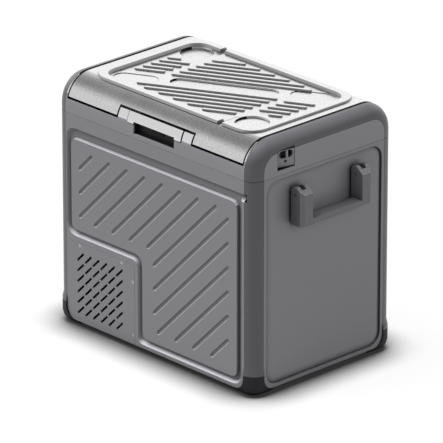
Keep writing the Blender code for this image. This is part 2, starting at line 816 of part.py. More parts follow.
def inlet_opening():
    """The gap in the right end that the inlet housing fills."""
    low = seam + INLET_RISE
    return box((half_length - INLET_BODY - FIT, -INLET_OFFSET - INLET_WIDTH / 2, low),
               (half_length + WALL, -INLET_OFFSET + INLET_WIDTH / 2, low + INLET_HEIGHT))


def hinge_room(side):
    """The room round a hinge's knuckles, in the rim and in the lid."""
    axis = (side * HINGE_SPREAD / 2, hinge_y, lid_edge)
    return cylinder(axis, "X", KNUCKLE_RADIUS + LATCH_CLEARANCE, HINGE_WIDTH + 4 * KNUCKLE_GAP, 20)


def bezel_middle():
    return (seam + end_top) / 2


def build_rim():
    """The fixed band above the seam: walls, tub ledge, cheeks beside the lid, the ends' upper panels."""
    low = seam + FIT
    rim = part("upper_rim", prism(body_outline(low), -panel_x, panel_x, "X"), "band_grey")
    end_corner = TOP_RADIUS - CORNER_RADIUS
    ends = [
        (-panel_y, low, 0),
        (panel_y, low, 0),
        (panel_y, end_top, end_corner),
        (-panel_y, end_top, end_corner),
    ]
    join(rim, prism(rounded(ends), -half_length, half_length, "X"))
    reach = BODY_HEIGHT
    cut(rim, box((-cheek_x, -reach, rim_edge), (cheek_x, reach, 2 * reach)))
    wall_y = half_width - WALL
    cut(rim, box((-cheek_x, -wall_y, ledge), (cheek_x, wall_y, reach)))
    cut(rim, box((-cheek_x, -wall_y, 0), (cheek_x, wall_y, ledge - WALL)))
    opening = rectangle(-tub_x - TUB_WALL - FIT, -tub_y - TUB_WALL - FIT, tub_x + TUB_WALL + FIT,
                        tub_y + TUB_WALL + FIT, TUB_CORNER + TUB_WALL + FIT)
    cut(rim, prism(rounded(opening), 0, reach, "Z"))
    for side in (-1, 1):
        hollow = sorted((side * panel_x, side * (half_length - WALL)))
        cut(rim, box((hollow[0], WALL - panel_y, 0), (hollow[1], panel_y - WALL, end_top - WALL)))
        tab_outer = side * (notch_x - TAB_GAP)
        tab_inner = tab_outer - side * TAB_WIDTH
        tab_top = arc_angle(lid_edge + NOTCH_HEIGHT - TAB_GAP)
        strip = top_strip(arc_angle(rim_edge - WALL), tab_top, 0.0, 2 * WALL)
        join(rim, prism(strip, min(tab_inner, tab_outer), max(tab_inner, tab_outer), "X"))
    latch_low = lid_edge - LATCH_OVERLAP - LATCH_CLEARANCE
    latch_x = LATCH_WIDTH / 2 + LATCH_CLEARANCE
    cut(rim, box((-latch_x, -reach, latch_low), (latch_x, -wall_y + FIT, reach)))
    pocket_x = POCKET_WIDTH / 2
    cut(rim, box((-pocket_x, -reach, lid_edge - POCKET_DROP), (pocket_x, -wall_y + FIT, reach)))
    for side in (-1, 1):
        cut(rim, hinge_room(side))
    cut(rim, inlet_opening())
    middle = bezel_middle()
    cut(rim, box((-half_length - WALL, -bezel_length / 2 - FIT, middle - BEZEL_HEIGHT / 2 - FIT),
                 (-half_length + 2 * WALL, bezel_length / 2 + FIT, middle + BEZEL_HEIGHT / 2 + FIT)))


def pocket_back():
    return -half_width + WALL + FIT + POCKET_DEPTH


def build_pocket():
    """The finger pocket behind the band, open to the front and to the latch, and the strike on its back."""
    front = -half_width + WALL + FIT
    back = pocket_back()
    low = ledge + FIT
    high = lid_edge - LATCH_OVERLAP - LATCH_CLEARANCE
    half = POCKET_WIDTH / 2
    shell = box((-half - TUB_WALL, front, low), (half + TUB_WALL, back, high))
    pocket = part("finger_pocket", shell, "rubber")
    floor = lid_edge - POCKET_DROP + FIT
    cut(pocket, box((-half, front - WALL, floor), (half, back - TUB_WALL, high + WALL)))
    strike_front = back - TUB_WALL - FIT - LATCH_CLEARANCE
    part("latch_strike", box((-NIB_WIDTH / 2, strike_front, high - 2 * WALL),
                             (NIB_WIDTH / 2, back - TUB_WALL - FIT, nib_low + WALL / 2)), "steel")
    return strike_front


def tub_body(grow, top):
    """The tub's stepped shape, deep on the right and shallow over the cooling bay, grown by a thickness."""
    corner = TUB_CORNER + grow
    side = grow - TUB_DRAFT
    deep = rectangle(step_x - grow, -tub_y - side, tub_x + side, tub_y + side, corner)
    full = rectangle(-tub_x - grow, -tub_y - grow, tub_x + grow, tub_y + grow, corner)
    return prism(rounded(deep), tub_floor - grow, top, "Z"), prism(rounded(full), step_z - grow, top, "Z")


def build_tub():
    deep, full = tub_body(TUB_WALL, flange_top - TUB_WALL / 2)
    tub = part("inner_tub", full, "white_plastic")
    join(tub, deep)
    reach = TUB_WALL + TUB_FLANGE
    flange = rectangle(-tub_x - reach, -tub_y - reach, tub_x + reach, tub_y + reach, TUB_CORNER + reach)
    join(tub, prism(rounded(flange), ledge + FIT, flange_top, "Z"))
    for hollow in tub_body(0.0, BODY_HEIGHT):
        cut(tub, hollow)
    sleeve_low = tub_floor + FLOOR_FOAM / 2
    grow = TUB_WALL + FIT
    side = grow - TUB_DRAFT
    inner = rectangle(step_x - grow, -tub_y - side, tub_x + side, tub_y + side, TUB_CORNER + grow)
    high = min(sleeve_low + SLEEVE_HEIGHT, step_z - TUB_WALL - 2 * FIT)
    outer = rounded(inner, CORNER_STEPS, SLEEVE_THICKNESS)
    sleeve = part("evaporator_sleeve", prism(outer, sleeve_low, high, "Z"), "aluminium")
    cut(sleeve, prism(rounded(inner), sleeve_low - WALL, high + WALL, "Z"))
    plan = rectangle(-inner_x, -inner_y, inner_x, inner_y, CORNER_RADIUS - PANEL_THICKNESS - FIT)
    foam = part("insulation", prism(rounded(plan), panel_low, panel_high, "Z"), "foam")
    for hollow in tub_body(TUB_WALL + FOAM_GAP, BODY_HEIGHT):
        cut(foam, hollow)
    reach = BODY_WIDTH
    cut(foam, box((-half_length, -reach, 0), (bay_right, reach, base_top + BAY_HEIGHT)))


def build_cooling():
    front = -half_width + PANEL_THICKNESS + FIT
    back = front + FAN_DEPTH
    half = FAN_SIZE / 2
    middle = (front + back) / 2
    frame_outline = rectangle(fan_x - half, fan_z - half, fan_x + half, fan_z + half, FAN_SIZE / 20)
    frame = part("fan_frame", prism(rounded(frame_outline, FINE_STEPS), front, back, "Y"), "rubber")
    cut(frame, cylinder((fan_x, middle, fan_z), "Y", fan_bore, 2 * FAN_DEPTH, 32))
    web = FAN_DEPTH / 8
    for wide, tall in ((fan_bore + WALL, WALL), (WALL, fan_bore + WALL)):
        join(frame, box((fan_x - wide, back - web, fan_z - tall), (fan_x + wide, back - FIT, fan_z + tall)))
    hub_front = front + 2 * FIT
    hub_back = back - web - 2 * FIT
    axle = axis_empty("fan_axis", Vector((fan_x, middle, fan_z)))
    hub_middle = (hub_front + hub_back) / 2
    rotor = part("fan_rotor", cylinder((fan_x, hub_middle, fan_z), "Y", FAN_HUB, hub_back - hub_front, 20),
                 "dark_plastic", axle)
    chord = (hub_back - hub_front) / 2
    blade_span = math.sqrt((fan_bore - BLADE_GAP) ** 2 - chord ** 2) - FAN_HUB + WALL
    for number in range(FAN_BLADES):
        blade = box((-chord, -BLADE_THICKNESS / 2, 0), (chord, BLADE_THICKNESS / 2, blade_span))
        turn = Matrix.Rotation(2 * math.pi * number / FAN_BLADES, 4, "Y")
        lift = Matrix.Translation((0, 0, FAN_HUB - WALL))
        tilt = Matrix.Rotation(BLADE_PITCH, 4, "Z")
        place = Matrix.Translation((fan_x, hub_middle, fan_z))
        bmesh.ops.transform(blade, matrix=place @ turn @ lift @ tilt, verts=blade.verts[:])
        join(rotor, blade)
    build_condenser(back + FIT)
    build_compressor(back + FIT + CONDENSER_DEPTH)
    build_board()


def build_board():
    """The control board on the inner face of the left end panel, with its two largest parts."""
    face = FIT - inner_x
    near = post_y - BOARD_INSET - BOARD_LENGTH
    low = base_top + BOARD_RISE
    board = part("control_board", box((face, near, low), (face + BOARD_THICKNESS, near + BOARD_LENGTH,
                                                          low + BOARD_HEIGHT)), "board_green")
    start = near
    for size in CHIP_SIZES:
        start += size
        join(board, box((face + BOARD_THICKNESS / 2, start, low + size),
                        (face + CHIP_HEIGHT, start + size, low + 2 * size)))
        start += size


def build_condenser(front):
    left = fan_x - CONDENSER_LENGTH / 2
    right = fan_x + CONDENSER_LENGTH / 2
    low = base_top + FIT
    high = low + CONDENSER_HEIGHT
    back = front + CONDENSER_DEPTH
    condenser = part("condenser", box((left, front, low), (right, back, high)), "aluminium")
    gaps = bmesh.new()
    pitch = CONDENSER_LENGTH / (CONDENSER_FINS + 1)
    for number in range(1, CONDENSER_FINS + 1):
        x = left + pitch * number
        box((x - FIN_GAP / 2, front - WALL, low + 2 * WALL),
            (x + FIN_GAP / 2, back + WALL, high - 2 * WALL), gaps)
    cut(condenser, gaps)


def build_compressor(condenser_back):
    low = base_top + FIT
    y = condenser_back + COMPRESSOR_RADIUS + 5 * WALL
    x = fan_x
    plate = 1.1 * COMPRESSOR_RADIUS
    sheet = box((x - plate, y - plate, low), (x + plate, y + plate, low + WALL))
    stand = part("compressor_base", sheet, "steel")
    post = COMPRESSOR_RADIUS - 3 * MOUNT_RADIUS
    for side_x in (-1, 1):
        for side_y in (-1, 1):
            place = (x + side_x * post, y + side_y * post, low + MOUNT_HEIGHT / 2 + WALL / 4)
            join(stand, cylinder(place, "Z", MOUNT_RADIUS, MOUNT_HEIGHT - WALL / 2, 12))
    foot = low + MOUNT_HEIGHT + FIT
    wide = COMPRESSOR_RADIUS
    dome = COMPRESSOR_HEIGHT * 0.22
    rings = []
    for z, radius in (
        (foot, wide * 0.90),
        (foot + WALL, wide),
        (foot + COMPRESSOR_HEIGHT - dome, wide),
        (foot + COMPRESSOR_HEIGHT - dome * 0.4, wide * 0.86),
        (foot + COMPRESSOR_HEIGHT - dome * 0.1, wide * 0.5),
        (foot + COMPRESSOR_HEIGHT, wide * 0.2),
    ):
        angles = [2 * math.pi * i / 20 for i in range(20)]
        rings.append([(x + radius * math.cos(a), y + radius * math.sin(a), z) for a in angles])
    part("compressor", loft(rings), "black_steel")
    z = low + CONDENSER_HEIGHT / 2
    out = x + wide + FIT * 2 + PIPE_RADIUS * 0.2
    turn = out + 4 * PIPE_RADIUS
    half = CONDENSER_LENGTH / 2
    end_x = min(turn, fan_x + half - 2 * PIPE_RADIUS)
    points = ((out, y, z), (turn - PIPE_RADIUS, y, z), (turn, y - PIPE_RADIUS, z),
              (turn, condenser_back + 4 * PIPE_RADIUS, z), (end_x, condenser_back + 2 * PIPE_RADIUS, z),
              (end_x, condenser_back + FIT, z))
    part("discharge_pipe", level_tube(points, PIPE_RADIUS), "copper")


def level_tube(points, radius, sides=10):
    """A round tube along a path that stays level."""
    rings = []
    for i, point in enumerate(points):
        here = Vector(point)
        before = (here - Vector(points[max(i - 1, 0)])).normalized()
        after = (Vector(points[min(i + 1, len(points) - 1)]) - here).normalized()
        along = (before + after).normalized()
        across = Vector((-along.y, along.x, 0))
        if before.length and after.length:
            across /= along.dot(after)
        angles = [2 * math.pi * k / sides for k in range(sides)]
        rings.append([here + radius * (across * math.cos(a) + Vector((0, 0, math.sin(a)))) for a in angles])
    return loft(rings)


def build_lid(carrier):
    outline = body_outline(lid_edge)
    shell = part("lid_shell", prism(outline, -lid_x, lid_x, "X"), "lid_silver", carrier)
    ceiling = BODY_HEIGHT - LID_CEILING
    hollow_x = lid_x - LID_WALL
    cavity = body_outline(lid_edge, LID_WALL, ceiling)
    cavity = [(cavity[0][0], lid_edge - WALL)] + cavity + [(cavity[-1][0], lid_edge - WALL)]
    cut(shell, prism(cavity, -hollow_x, hollow_x, "X"))
    reach = BODY_HEIGHT
    notch_back = top_arc(arc_angle(lid_edge + NOTCH_HEIGHT), 2 * LID_WALL)[0]
    cut(shell, box((-notch_x, -reach, 0), (notch_x, notch_back, lid_edge + NOTCH_HEIGHT)))
    for side in (-1, 1):
        cut(shell, hinge_room(side))
    build_lid_top(shell)
    core_y = arc_y + math.sqrt((TOP_RADIUS - LID_WALL) ** 2 - (ceiling - arc_z) ** 2) - LID_CORE_GAP
    part("lid_insulation", box((FIT - hollow_x, -core_y, lid_edge), (hollow_x - FIT, core_y, ceiling - FIT)),
         "foam", carrier)
    plate_front = LINER_FRONT_INSET - half_width
    plate_back = hinge_y - KNUCKLE_RADIUS - LATCH_CLEARANCE
    liner = part("lid_liner", box((-lid_x, plate_front, liner_low), (lid_x, plate_back, liner_top)),
                 "white_plastic", carrier)
    clear = PLUG_CLEARANCE
    plug = rectangle(clear - tub_x, clear - tub_y, tub_x - clear, tub_y - clear, TUB_CORNER)
    join(liner, prism(rounded(plug), liner_top - PLUG_DEPTH - WALL, liner_top - WALL / 2, "Z"))
    seal = rectangle(-tub_x, -tub_y, tub_x, tub_y, TUB_CORNER)
    gasket_low = flange_top + 2 * FIT
    gasket_high = liner_low - FIT
    outer = rounded(seal, CORNER_STEPS, GASKET_WIDTH)
    gasket = part("lid_gasket", prism(outer, gasket_low, gasket_high, "Z"), "rubber", carrier)
    cut(gasket, prism(rounded(seal), gasket_low - WALL, gasket_high + WALL, "Z"))


def build_lid_top(shell):
    """The raised plateau, its tray with bars, pill, dishes and pads, all alike after half a turn about Z."""
    plateau_x = lid_x - PLATEAU_SIDE_INSET
    plateau_y = half_width - PLATEAU_END_INSET
    plateau_top = BODY_HEIGHT + PLATEAU_RISE
    rim = rectangle(-plateau_x, -plateau_y, plateau_x, plateau_y, PLATEAU_CORNER)
    join(shell, tapered(rim, BODY_HEIGHT - PLATEAU_RISE / 2, plateau_top, -PLATEAU_RISE / 2, "Z"))
    tray_x = plateau_x - TRAY_RIM
    tray_y = plateau_y - TRAY_RIM
    tray = rectangle(-tray_x, -tray_y, tray_x, tray_y, PLATEAU_CORNER - TRAY_RIM / 2)
    cut(shell, tapered(tray, tray_floor, plateau_top + FIT, TRAY_DEPTH / 2, "Z"))
    pill = stadium((0, 0), BAR_ANGLE, PILL_LENGTH, PILL_WIDTH)
    cut(shell, tapered(pill, tray_floor - PILL_DEPTH, tray_floor + FIT, PILL_DEPTH / 2, "Z"))
    dishes = bmesh.new()
    drains = bmesh.new()
    pads = bmesh.new()
    for side in (-1, 1):
        dish_x = side * (tray_x - DISH_RADIUS - FIT)
        dish_y = -side * (tray_y - DISH_RADIUS - FIT)
        cylinder((dish_x, dish_y, tray_floor - DISH_DEPTH / 2 + FIT / 2), "Z", DISH_RADIUS - DISH_DEPTH / 2,
                 DISH_DEPTH + FIT, 28, dishes, DISH_RADIUS)
        drain_x = dish_x - side * DISH_RADIUS
        drain_y = sorted((dish_y, -side * (plateau_y + DRAIN_WIDTH)))
        box((drain_x - DRAIN_WIDTH / 2, drain_y[0], tray_floor - FIT),
            (drain_x + DRAIN_WIDTH / 2, drain_y[1], plateau_top + WALL), drains)
        pad = stadium((-side * (tray_x - PILL_LENGTH / 4), -side * (tray_y - PILL_WIDTH)), BAR_ANGLE,
                      PILL_LENGTH * 0.42, PILL_WIDTH * 1.2)
        tapered(pad, tray_floor - PAD_DEPTH, tray_floor + FIT, PAD_DEPTH / 2, "Z", bm=pads)
    cut(shell, dishes)
    cut(shell, pads)
    bars = bmesh.new()
    for start, end in bar_ends(tray_x, tray_y):
        middle = (Vector(start) + Vector(end)) / 2
        length = (Vector(end) - Vector(start)).length
        bar = stadium(middle, BAR_ANGLE, length, BAR_WIDTH)
        tapered(bar, tray_floor - PAD_DEPTH / 2, tray_floor + BAR_RISE, -BAR_RISE / 2, "Z", FINE_STEPS, bars)
    join(shell, bars)
    cut(shell, drains)


def bar_ends(tray_x, tray_y):
    """Ends (x, y) of the diagonal bars: six behind the pill, five at the left, the same turned half round."""
    slope = math.tan(BAR_ANGLE)
    step = BAR_PITCH / math.cos(BAR_ANGLE)
    middle_left = -tray_x * 0.578
    top = tray_y - BAR_WIDTH * 1.3
    end_left = -tray_x * 0.925
    end_right = middle_left - BAR_WIDTH * 1.7
    ends = []
    for k in range(6):
        y = PILL_WIDTH * 1.02 + middle_left * slope + step * k
        far = min(middle_left + (top - y) / slope, tray_x * 0.64)
        if far - middle_left > BAR_WIDTH:
            ends.append(((middle_left, y), (far, y + (far - middle_left) * slope)))
    for k in range(5):
        y = -tray_y * 0.46 + step * k
        far = min(end_right, end_left + (tray_y * 0.34 - y) / slope)
        if far - end_left > BAR_WIDTH:
            ends.append(((end_left, y), (far, y + (far - end_left) * slope)))
    return ends + [((-b[0], -b[1]), (-a[0], -a[1])) for a, b in ends]


def build_latch(lid_carrier, latch_carrier, strike_front):
    pivot = place_of(latch_carrier)
    low = arc_angle(lid_edge - LATCH_OVERLAP)
    high = arc_angle(lid_edge + LATCH_RISE)
    half = LATCH_WIDTH / 2
    inset = LATCH_THICKNESS - LATCH_PROUD
    strip = top_strip(low, high, -LATCH_PROUD, inset)
    paddle = part("latch_paddle", prism(strip, -half, half, "X"), "lid_silver", latch_carrier)
    ear = LATCH_EAR_RADIUS
    ear_low = max(pivot.z - ear, lid_edge)
    bend = 0.49 * (pivot.z + ear - ear_low)
    for side in (-1, 1):
        inner, outer = sorted((side * LATCH_EAR_SPREAD, side * (LATCH_EAR_SPREAD + LATCH_EAR)))
        root = top_arc(arc_angle(pivot.z), inset / 2)[0]
        outline = [(root, ear_low, 0), (pivot.y + ear, ear_low, bend),
                   (pivot.y + ear, pivot.z + ear, bend), (root, pivot.z + ear, 0)]
        join(paddle, prism(rounded(outline, FINE_STEPS), inner, outer, "X"))
    half_pocket = POCKET_WIDTH / 2
    cut(paddle, box((-half_pocket, -BODY_WIDTH, 0), (half_pocket, 0, nib_low - FIT)))
    nib_y = strike_front - NIB_GAP
    join(paddle, box((-NIB_WIDTH / 2, top_arc(low, inset / 2)[0], nib_low),
                     (NIB_WIDTH / 2, nib_y, nib_low + WALL)))
    cut(paddle, cylinder(pivot, "X", LATCH_PIN_RADIUS + FIT, LATCH_WIDTH, 16))
    plate_front = pivot.y + ear + LATCH_CLEARANCE + WALL / 2
    plate_back = plate_front + WALL
    ear_x = LATCH_EAR_SPREAD + LATCH_EAR + LATCH_CLEARANCE
    far_x = ear_x + LATCH_EAR
    plate = box((-far_x, plate_front, lid_edge), (far_x, plate_back, pivot.z + 3 * ear))
    bracket = part("latch_bracket", plate, "dark_plastic", lid_carrier)
    for side in (-1, 1):
        inner, outer = sorted((side * ear_x, side * far_x))
        root = plate_back - WALL / 2
        outline = [(pivot.y - ear, ear_low, bend), (root, ear_low, 0),
                   (root, pivot.z + ear, 0), (pivot.y - ear, pivot.z + ear, bend)]
        join(bracket, prism(rounded(outline, FINE_STEPS), inner, outer, "X"))
    cut(bracket, cylinder(pivot, "X", LATCH_PIN_RADIUS + FIT, LATCH_WIDTH, 16))
    part("latch_pin", cylinder(pivot, "X", LATCH_PIN_RADIUS, 2 * far_x, 16), "steel", lid_carrier)


def build_hinges(carrier):
    half = HINGE_WIDTH / 2
    knuckle = KNUCKLE_WIDTH / 2
    bore = HINGE_PIN_RADIUS + FIT
    first = arc_angle(lid_edge + KNUCKLE_RADIUS + LATCH_CLEARANCE)
    last = arc_angle(lid_edge + LEAF_HEIGHT)
    for side, word in ((-1, "left"), (1, "right")):
        x = side * HINGE_SPREAD / 2
        axis = (x, hinge_y, lid_edge)
        strip = top_strip(first, last, -LEAF_THICKNESS - FIT, -FIT, 1)
        leaf = part(f"lid_hinge_{word}", prism(strip, x - half, x + half, "X"), "dark_plastic", carrier)
        leg = top_strip(arc_angle(lid_edge + FIT), (first + last) / 2, -LEAF_THICKNESS - FIT, -FIT, 1)
        join(leaf, prism(leg, x - knuckle, x + knuckle, "X"))
        join(leaf, cylinder(axis, "X", KNUCKLE_RADIUS, KNUCKLE_WIDTH, 20))
        cut(leaf, cylinder(axis, "X", bore, HINGE_WIDTH, 16))
        face = half_width + FIT
        plate_top = lid_edge - KNUCKLE_RADIUS - LATCH_CLEARANCE
        base = part(f"body_hinge_{word}", box((x - half, face, plate_top - LEAF_HEIGHT),
                                              (x + half, face + LEAF_THICKNESS, plate_top)), "dark_plastic")
        for end in (-1, 1):
            inner, outer = sorted((x + end * (knuckle + KNUCKLE_GAP), x + end * half))
            join(base, box((inner, face, plate_top - WALL), (outer, face + LEAF_THICKNESS, lid_edge)))
            middle = ((inner + outer) / 2, hinge_y, lid_edge)
            join(base, cylinder(middle, "X", KNUCKLE_RADIUS, outer - inner, 20))
        cut(base, cylinder(axis, "X", bore, 2 * HINGE_WIDTH, 16))
        part(f"hinge_pin_{word}", cylinder(axis, "X", HINGE_PIN_RADIUS, HINGE_WIDTH, 16), "steel")


def build_handle(side, word, carrier):
    """A swing handle on one end, and the two mounts that it turns on."""
    half = HANDLE_WIDTH / 2
    low = seam - HANDLE_LOW_DROP
    pivot_x = handle_pivot_x
    pivot_z = handle_pivot_z
    outer = half_length + HANDLE_REACH
    back = end_face + HANDLE_BACK_GAP
    top = pivot_z + HANDLE_BOSS
    profile = [(back, low, 0), (outer - HANDLE_CHAMFER / 2, low, 0), (outer, low + HANDLE_CHAMFER / 2, 0),
               (outer, top - HANDLE_SLOPE_DROP, 0), (half_length + HANDLE_SHOULDER, top, 0)]
    outline = [corner[:2] for corner in profile]
    for step in range(TOP_STEPS + 1):
        angle = math.pi / 2 + math.pi / 2 * step / TOP_STEPS
        boss_x = max(pivot_x + HANDLE_BOSS * math.cos(angle), back)
        outline.append((boss_x, pivot_z + HANDLE_BOSS * math.sin(angle)))
    outline = [(side * x, z) for x, z in outline]
    handle = part(f"handle_{word}", prism(outline, -half, half, "Y"), "dark_plastic", carrier)
    chamfer = HANDLE_CHAMFER
    plan = [(back - HANDLE_BOSS, -half), (outer - chamfer, -half), (outer, chamfer - half),
            (outer, half - chamfer), (outer - chamfer, half), (back - HANDLE_BOSS, half)]
    keep(handle, prism([(side * x, y) for x, y in plan], 0, BODY_HEIGHT, "Z"))
    gap_y = half - HANDLE_ARM
    span = sorted((side * (back - HANDLE_BOSS), side * (outer + WALL)))
    cut(handle, box((span[0], -gap_y, low + GRIP_HEIGHT), (span[1], gap_y, BODY_HEIGHT)))
    behind = sorted((side * (back - HANDLE_BOSS), side * (outer - GRIP_DEPTH)))
    cut(handle, box((behind[0], -gap_y, 0), (behind[1], gap_y, BODY_HEIGHT)))
    arm_y = half - HANDLE_ARM / 2
    tongue = TONGUE_WIDTH / 2
    reach = TONGUE_RADIUS + TONGUE_GAP
    slot = sorted((side * (back - HANDLE_BOSS), side * (pivot_x + reach)))
    for end in (-1, 1):
        y = end * arm_y
        cut(handle, box((slot[0], y - tongue - TONGUE_GAP, pivot_z - reach),
                        (slot[1], y + tongue + TONGUE_GAP, BODY_HEIGHT)))
    cut(handle, cylinder((side * pivot_x, 0, pivot_z), "Y", HANDLE_PIN_RADIUS + FIT, 2 * HANDLE_WIDTH, 16))
    root = end_face + FIT
    for end, place in ((-1, "front"), (1, "rear")):
        y = end * arm_y
        edge = sorted((side * root, side * pivot_x))
        block = box((edge[0], y - tongue, pivot_z - TONGUE_RADIUS),
                    (edge[1], y + tongue, pivot_z + TONGUE_RADIUS))
        mount = part(f"handle_mount_{word}_{place}", block, "dark_plastic")
        join(mount, cylinder((side * pivot_x, y, pivot_z), "Y", TONGUE_RADIUS, TONGUE_WIDTH, 20))
        join(mount, cylinder((side * pivot_x, y, pivot_z), "Y", HANDLE_PIN_RADIUS, HANDLE_ARM - 4 * FIT, 16))


def build_inlet():
    """The sunk socket on the right end: a housing whose face slopes in, and a black two-pin inlet in it."""
    face = half_length - 3 * FIT
    back = half_length - INLET_BODY
    near = -INLET_OFFSET - INLET_WIDTH / 2 + FIT
    far = -INLET_OFFSET + INLET_WIDTH / 2 - FIT
    low = seam + INLET_RISE + FIT
    high = seam + INLET_RISE + INLET_HEIGHT - FIT
    plan = [(back, near), (face - INLET_DEPTH, near), (face, far), (back, far)]
    housing = part("inlet_housing", prism(plan, low, high, "Z"), "panel_grey")
    y = -INLET_OFFSET + INLET_WIDTH * 0.1
    z = low + INLET_HEIGHT * 0.64
    plug = rectangle(y - PLUG_LENGTH / 2, z - PLUG_HEIGHT / 2, y + PLUG_LENGTH / 2, z + PLUG_HEIGHT / 2,
                     PLUG_HEIGHT * 0.45)
    cut(housing, prism(rounded(plug, FINE_STEPS, FIT), back + WALL, face + WALL, "X"))
    front = face - INLET_DEPTH / 2 - 2 * FIT
    inlet = part("power_inlet", prism(rounded(plug, FINE_STEPS), back + WALL + FIT, front, "X"), "rubber")
    cut(inlet, prism(rounded(plug, FINE_STEPS, -WALL / 2), front - PLUG_RECESS, front + WALL, "X"))
    for side in (-1, 1):
        pin_y = y + side * PLUG_LENGTH / 5
        join(inlet, cylinder((front - PLUG_RECESS * 0.6, pin_y, z), "X", PIN_RADIUS, PLUG_RECESS, 10))


def build_controls():
    """The control strip on the left end: bezel, display window and four push buttons."""
    middle = bezel_middle()
    front = -half_length - BEZEL_PROUD
    back = -half_length + BEZEL_DEPTH
    tall = BEZEL_HEIGHT / 2
    outline = rectangle(-bezel_length / 2, middle - tall, bezel_length / 2, middle + tall)
    bezel = part("control_bezel", prism(rounded(outline), front, back, "X"), "gloss_black")
    display_y = (bezel_length - DISPLAY_LENGTH) / 2 - BEZEL_MARGIN
    window = rectangle(display_y - DISPLAY_LENGTH / 2, middle - DISPLAY_HEIGHT / 2,
                       display_y + DISPLAY_LENGTH / 2, middle + DISPLAY_HEIGHT / 2, DISPLAY_DEPTH)
    cut(bezel, prism(rounded(window, FINE_STEPS, FIT), front + DISPLAY_DEPTH, front - WALL, "X"))
    part("display_window", prism(rounded(window, FINE_STEPS), front + DISPLAY_DEPTH - FIT, front + FIT, "X"),
         "display_glass")
    first = BEZEL_MARGIN + button_room - bezel_length / 2
    for number, name in enumerate(BUTTON_NAMES):
        y = first + BUTTON_PITCH * number
        cut(bezel, cylinder(((front + back) / 2, y, middle), "X", BUTTON_RADIUS + BUTTON_CLEARANCE,
                            4 * BEZEL_DEPTH, 20))
        carrier = axis_empty(f"{name}_axis", Vector((front, y, middle)))
        tip = front - BUTTON_PROUD
        plunger = cylinder(((tip + back) / 2, y, middle), "X", BUTTON_RADIUS, back - tip, 20)
        part(name, plunger, "dark_plastic", carrier)


def main():
    start_scene()
    make_material("panel_grey", (0.21, 0.21, 0.22), 0.6)
    make_material("band_grey", (0.23, 0.23, 0.24), 0.55)
    make_material("lid_silver", (0.62, 0.62, 0.64), 0.45, 0.3)
    make_material("dark_plastic", (0.075, 0.075, 0.08), 0.6)
    make_material("rubber", (0.022, 0.022, 0.024), 0.8)
    make_material("white_plastic", (0.75, 0.76, 0.76), 0.4)
    make_material("foam", (0.72, 0.66, 0.48), 0.9)
    make_material("aluminium", (0.75, 0.75, 0.76), 0.35, 1.0)
    make_material("steel", (0.45, 0.45, 0.46), 0.4, 1.0)
    make_material("black_steel", (0.03, 0.03, 0.03), 0.35, 0.6)
    make_material("copper", (0.78, 0.38, 0.22), 0.3, 1.0)
    make_material("board_green", (0.04, 0.20, 0.07), 0.5)
    make_material("gloss_black", (0.012, 0.012, 0.014), 0.2)
    make_material("display_glass", (0.01, 0.02, 0.03), 0.05)
    lid_carrier = axis_empty("lid_axis", Vector((0, hinge_y, lid_edge)))
    pivot_angle = arc_angle(lid_edge + LATCH_PIVOT_RISE)
    pivot = Vector((0, *top_arc(pivot_angle, LATCH_PIVOT_INSET)))
    latch_carrier = axis_empty("latch_axis", pivot - lid_carrier.location)
    latch_carrier.parent = lid_carrier
    build_base()
    build_posts()
    build_arches()
    build_front_panel()
    build_vent_cover()
    build_end_panels()
    build_rear_panel()
    build_rim()
    strike_front = build_pocket()
    build_tub()
    build_cooling()
    build_lid(lid_carrier)
    build_latch(lid_carrier, latch_carrier, strike_front)
    build_hinges(lid_carrier)
    for side, word in ((-1, "left"), (1, "right")):
        carrier = axis_empty(f"handle_{word}_axis", Vector((side * handle_pivot_x, 0, handle_pivot_z)))
        build_handle(side, word, carrier)
    build_inlet()
    build_controls()


main()
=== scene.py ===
"""Looks of the compressor cooler fridge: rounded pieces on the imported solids, moulded plastics and a studio.

Metres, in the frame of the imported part: +Z up, X along the front, +Y to the back.
"""

import json
import math

import bmesh
import bpy
from mathutils import Matrix
from mathutils import Vector

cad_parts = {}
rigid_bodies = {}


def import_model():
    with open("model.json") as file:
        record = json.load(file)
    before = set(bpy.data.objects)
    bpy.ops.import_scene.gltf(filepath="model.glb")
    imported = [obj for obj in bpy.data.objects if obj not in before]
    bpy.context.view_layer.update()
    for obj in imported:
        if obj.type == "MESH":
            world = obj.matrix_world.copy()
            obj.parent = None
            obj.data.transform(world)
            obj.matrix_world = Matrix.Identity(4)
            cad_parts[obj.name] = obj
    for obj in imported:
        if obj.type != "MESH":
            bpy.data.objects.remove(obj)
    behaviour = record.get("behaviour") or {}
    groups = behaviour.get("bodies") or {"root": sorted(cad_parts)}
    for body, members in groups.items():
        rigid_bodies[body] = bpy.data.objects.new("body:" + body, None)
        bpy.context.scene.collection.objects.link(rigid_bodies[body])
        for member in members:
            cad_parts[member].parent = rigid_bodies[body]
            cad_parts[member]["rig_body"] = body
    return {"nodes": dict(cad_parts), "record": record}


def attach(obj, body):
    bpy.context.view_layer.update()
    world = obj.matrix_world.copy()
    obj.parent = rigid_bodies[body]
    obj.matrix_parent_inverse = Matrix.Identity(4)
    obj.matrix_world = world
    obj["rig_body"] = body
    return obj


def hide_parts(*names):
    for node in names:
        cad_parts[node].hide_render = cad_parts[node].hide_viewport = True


# Camera fitted to the photograph: azimuth from the front, elevation, distance, shift and lens
CAMERA_AZIMUTH = math.radians(46.5)
CAMERA_ELEVATION = math.radians(22.19)
CAMERA_DISTANCE = 9.9325
CAMERA_TARGET = Vector((0.002, -0.002, 0.252))
CAMERA_RIGHT = -0.00452
CAMERA_UP = -0.04218
CAMERA_LENS = 476.9
CAMERA_REACH = 100
SENSOR = 36.0

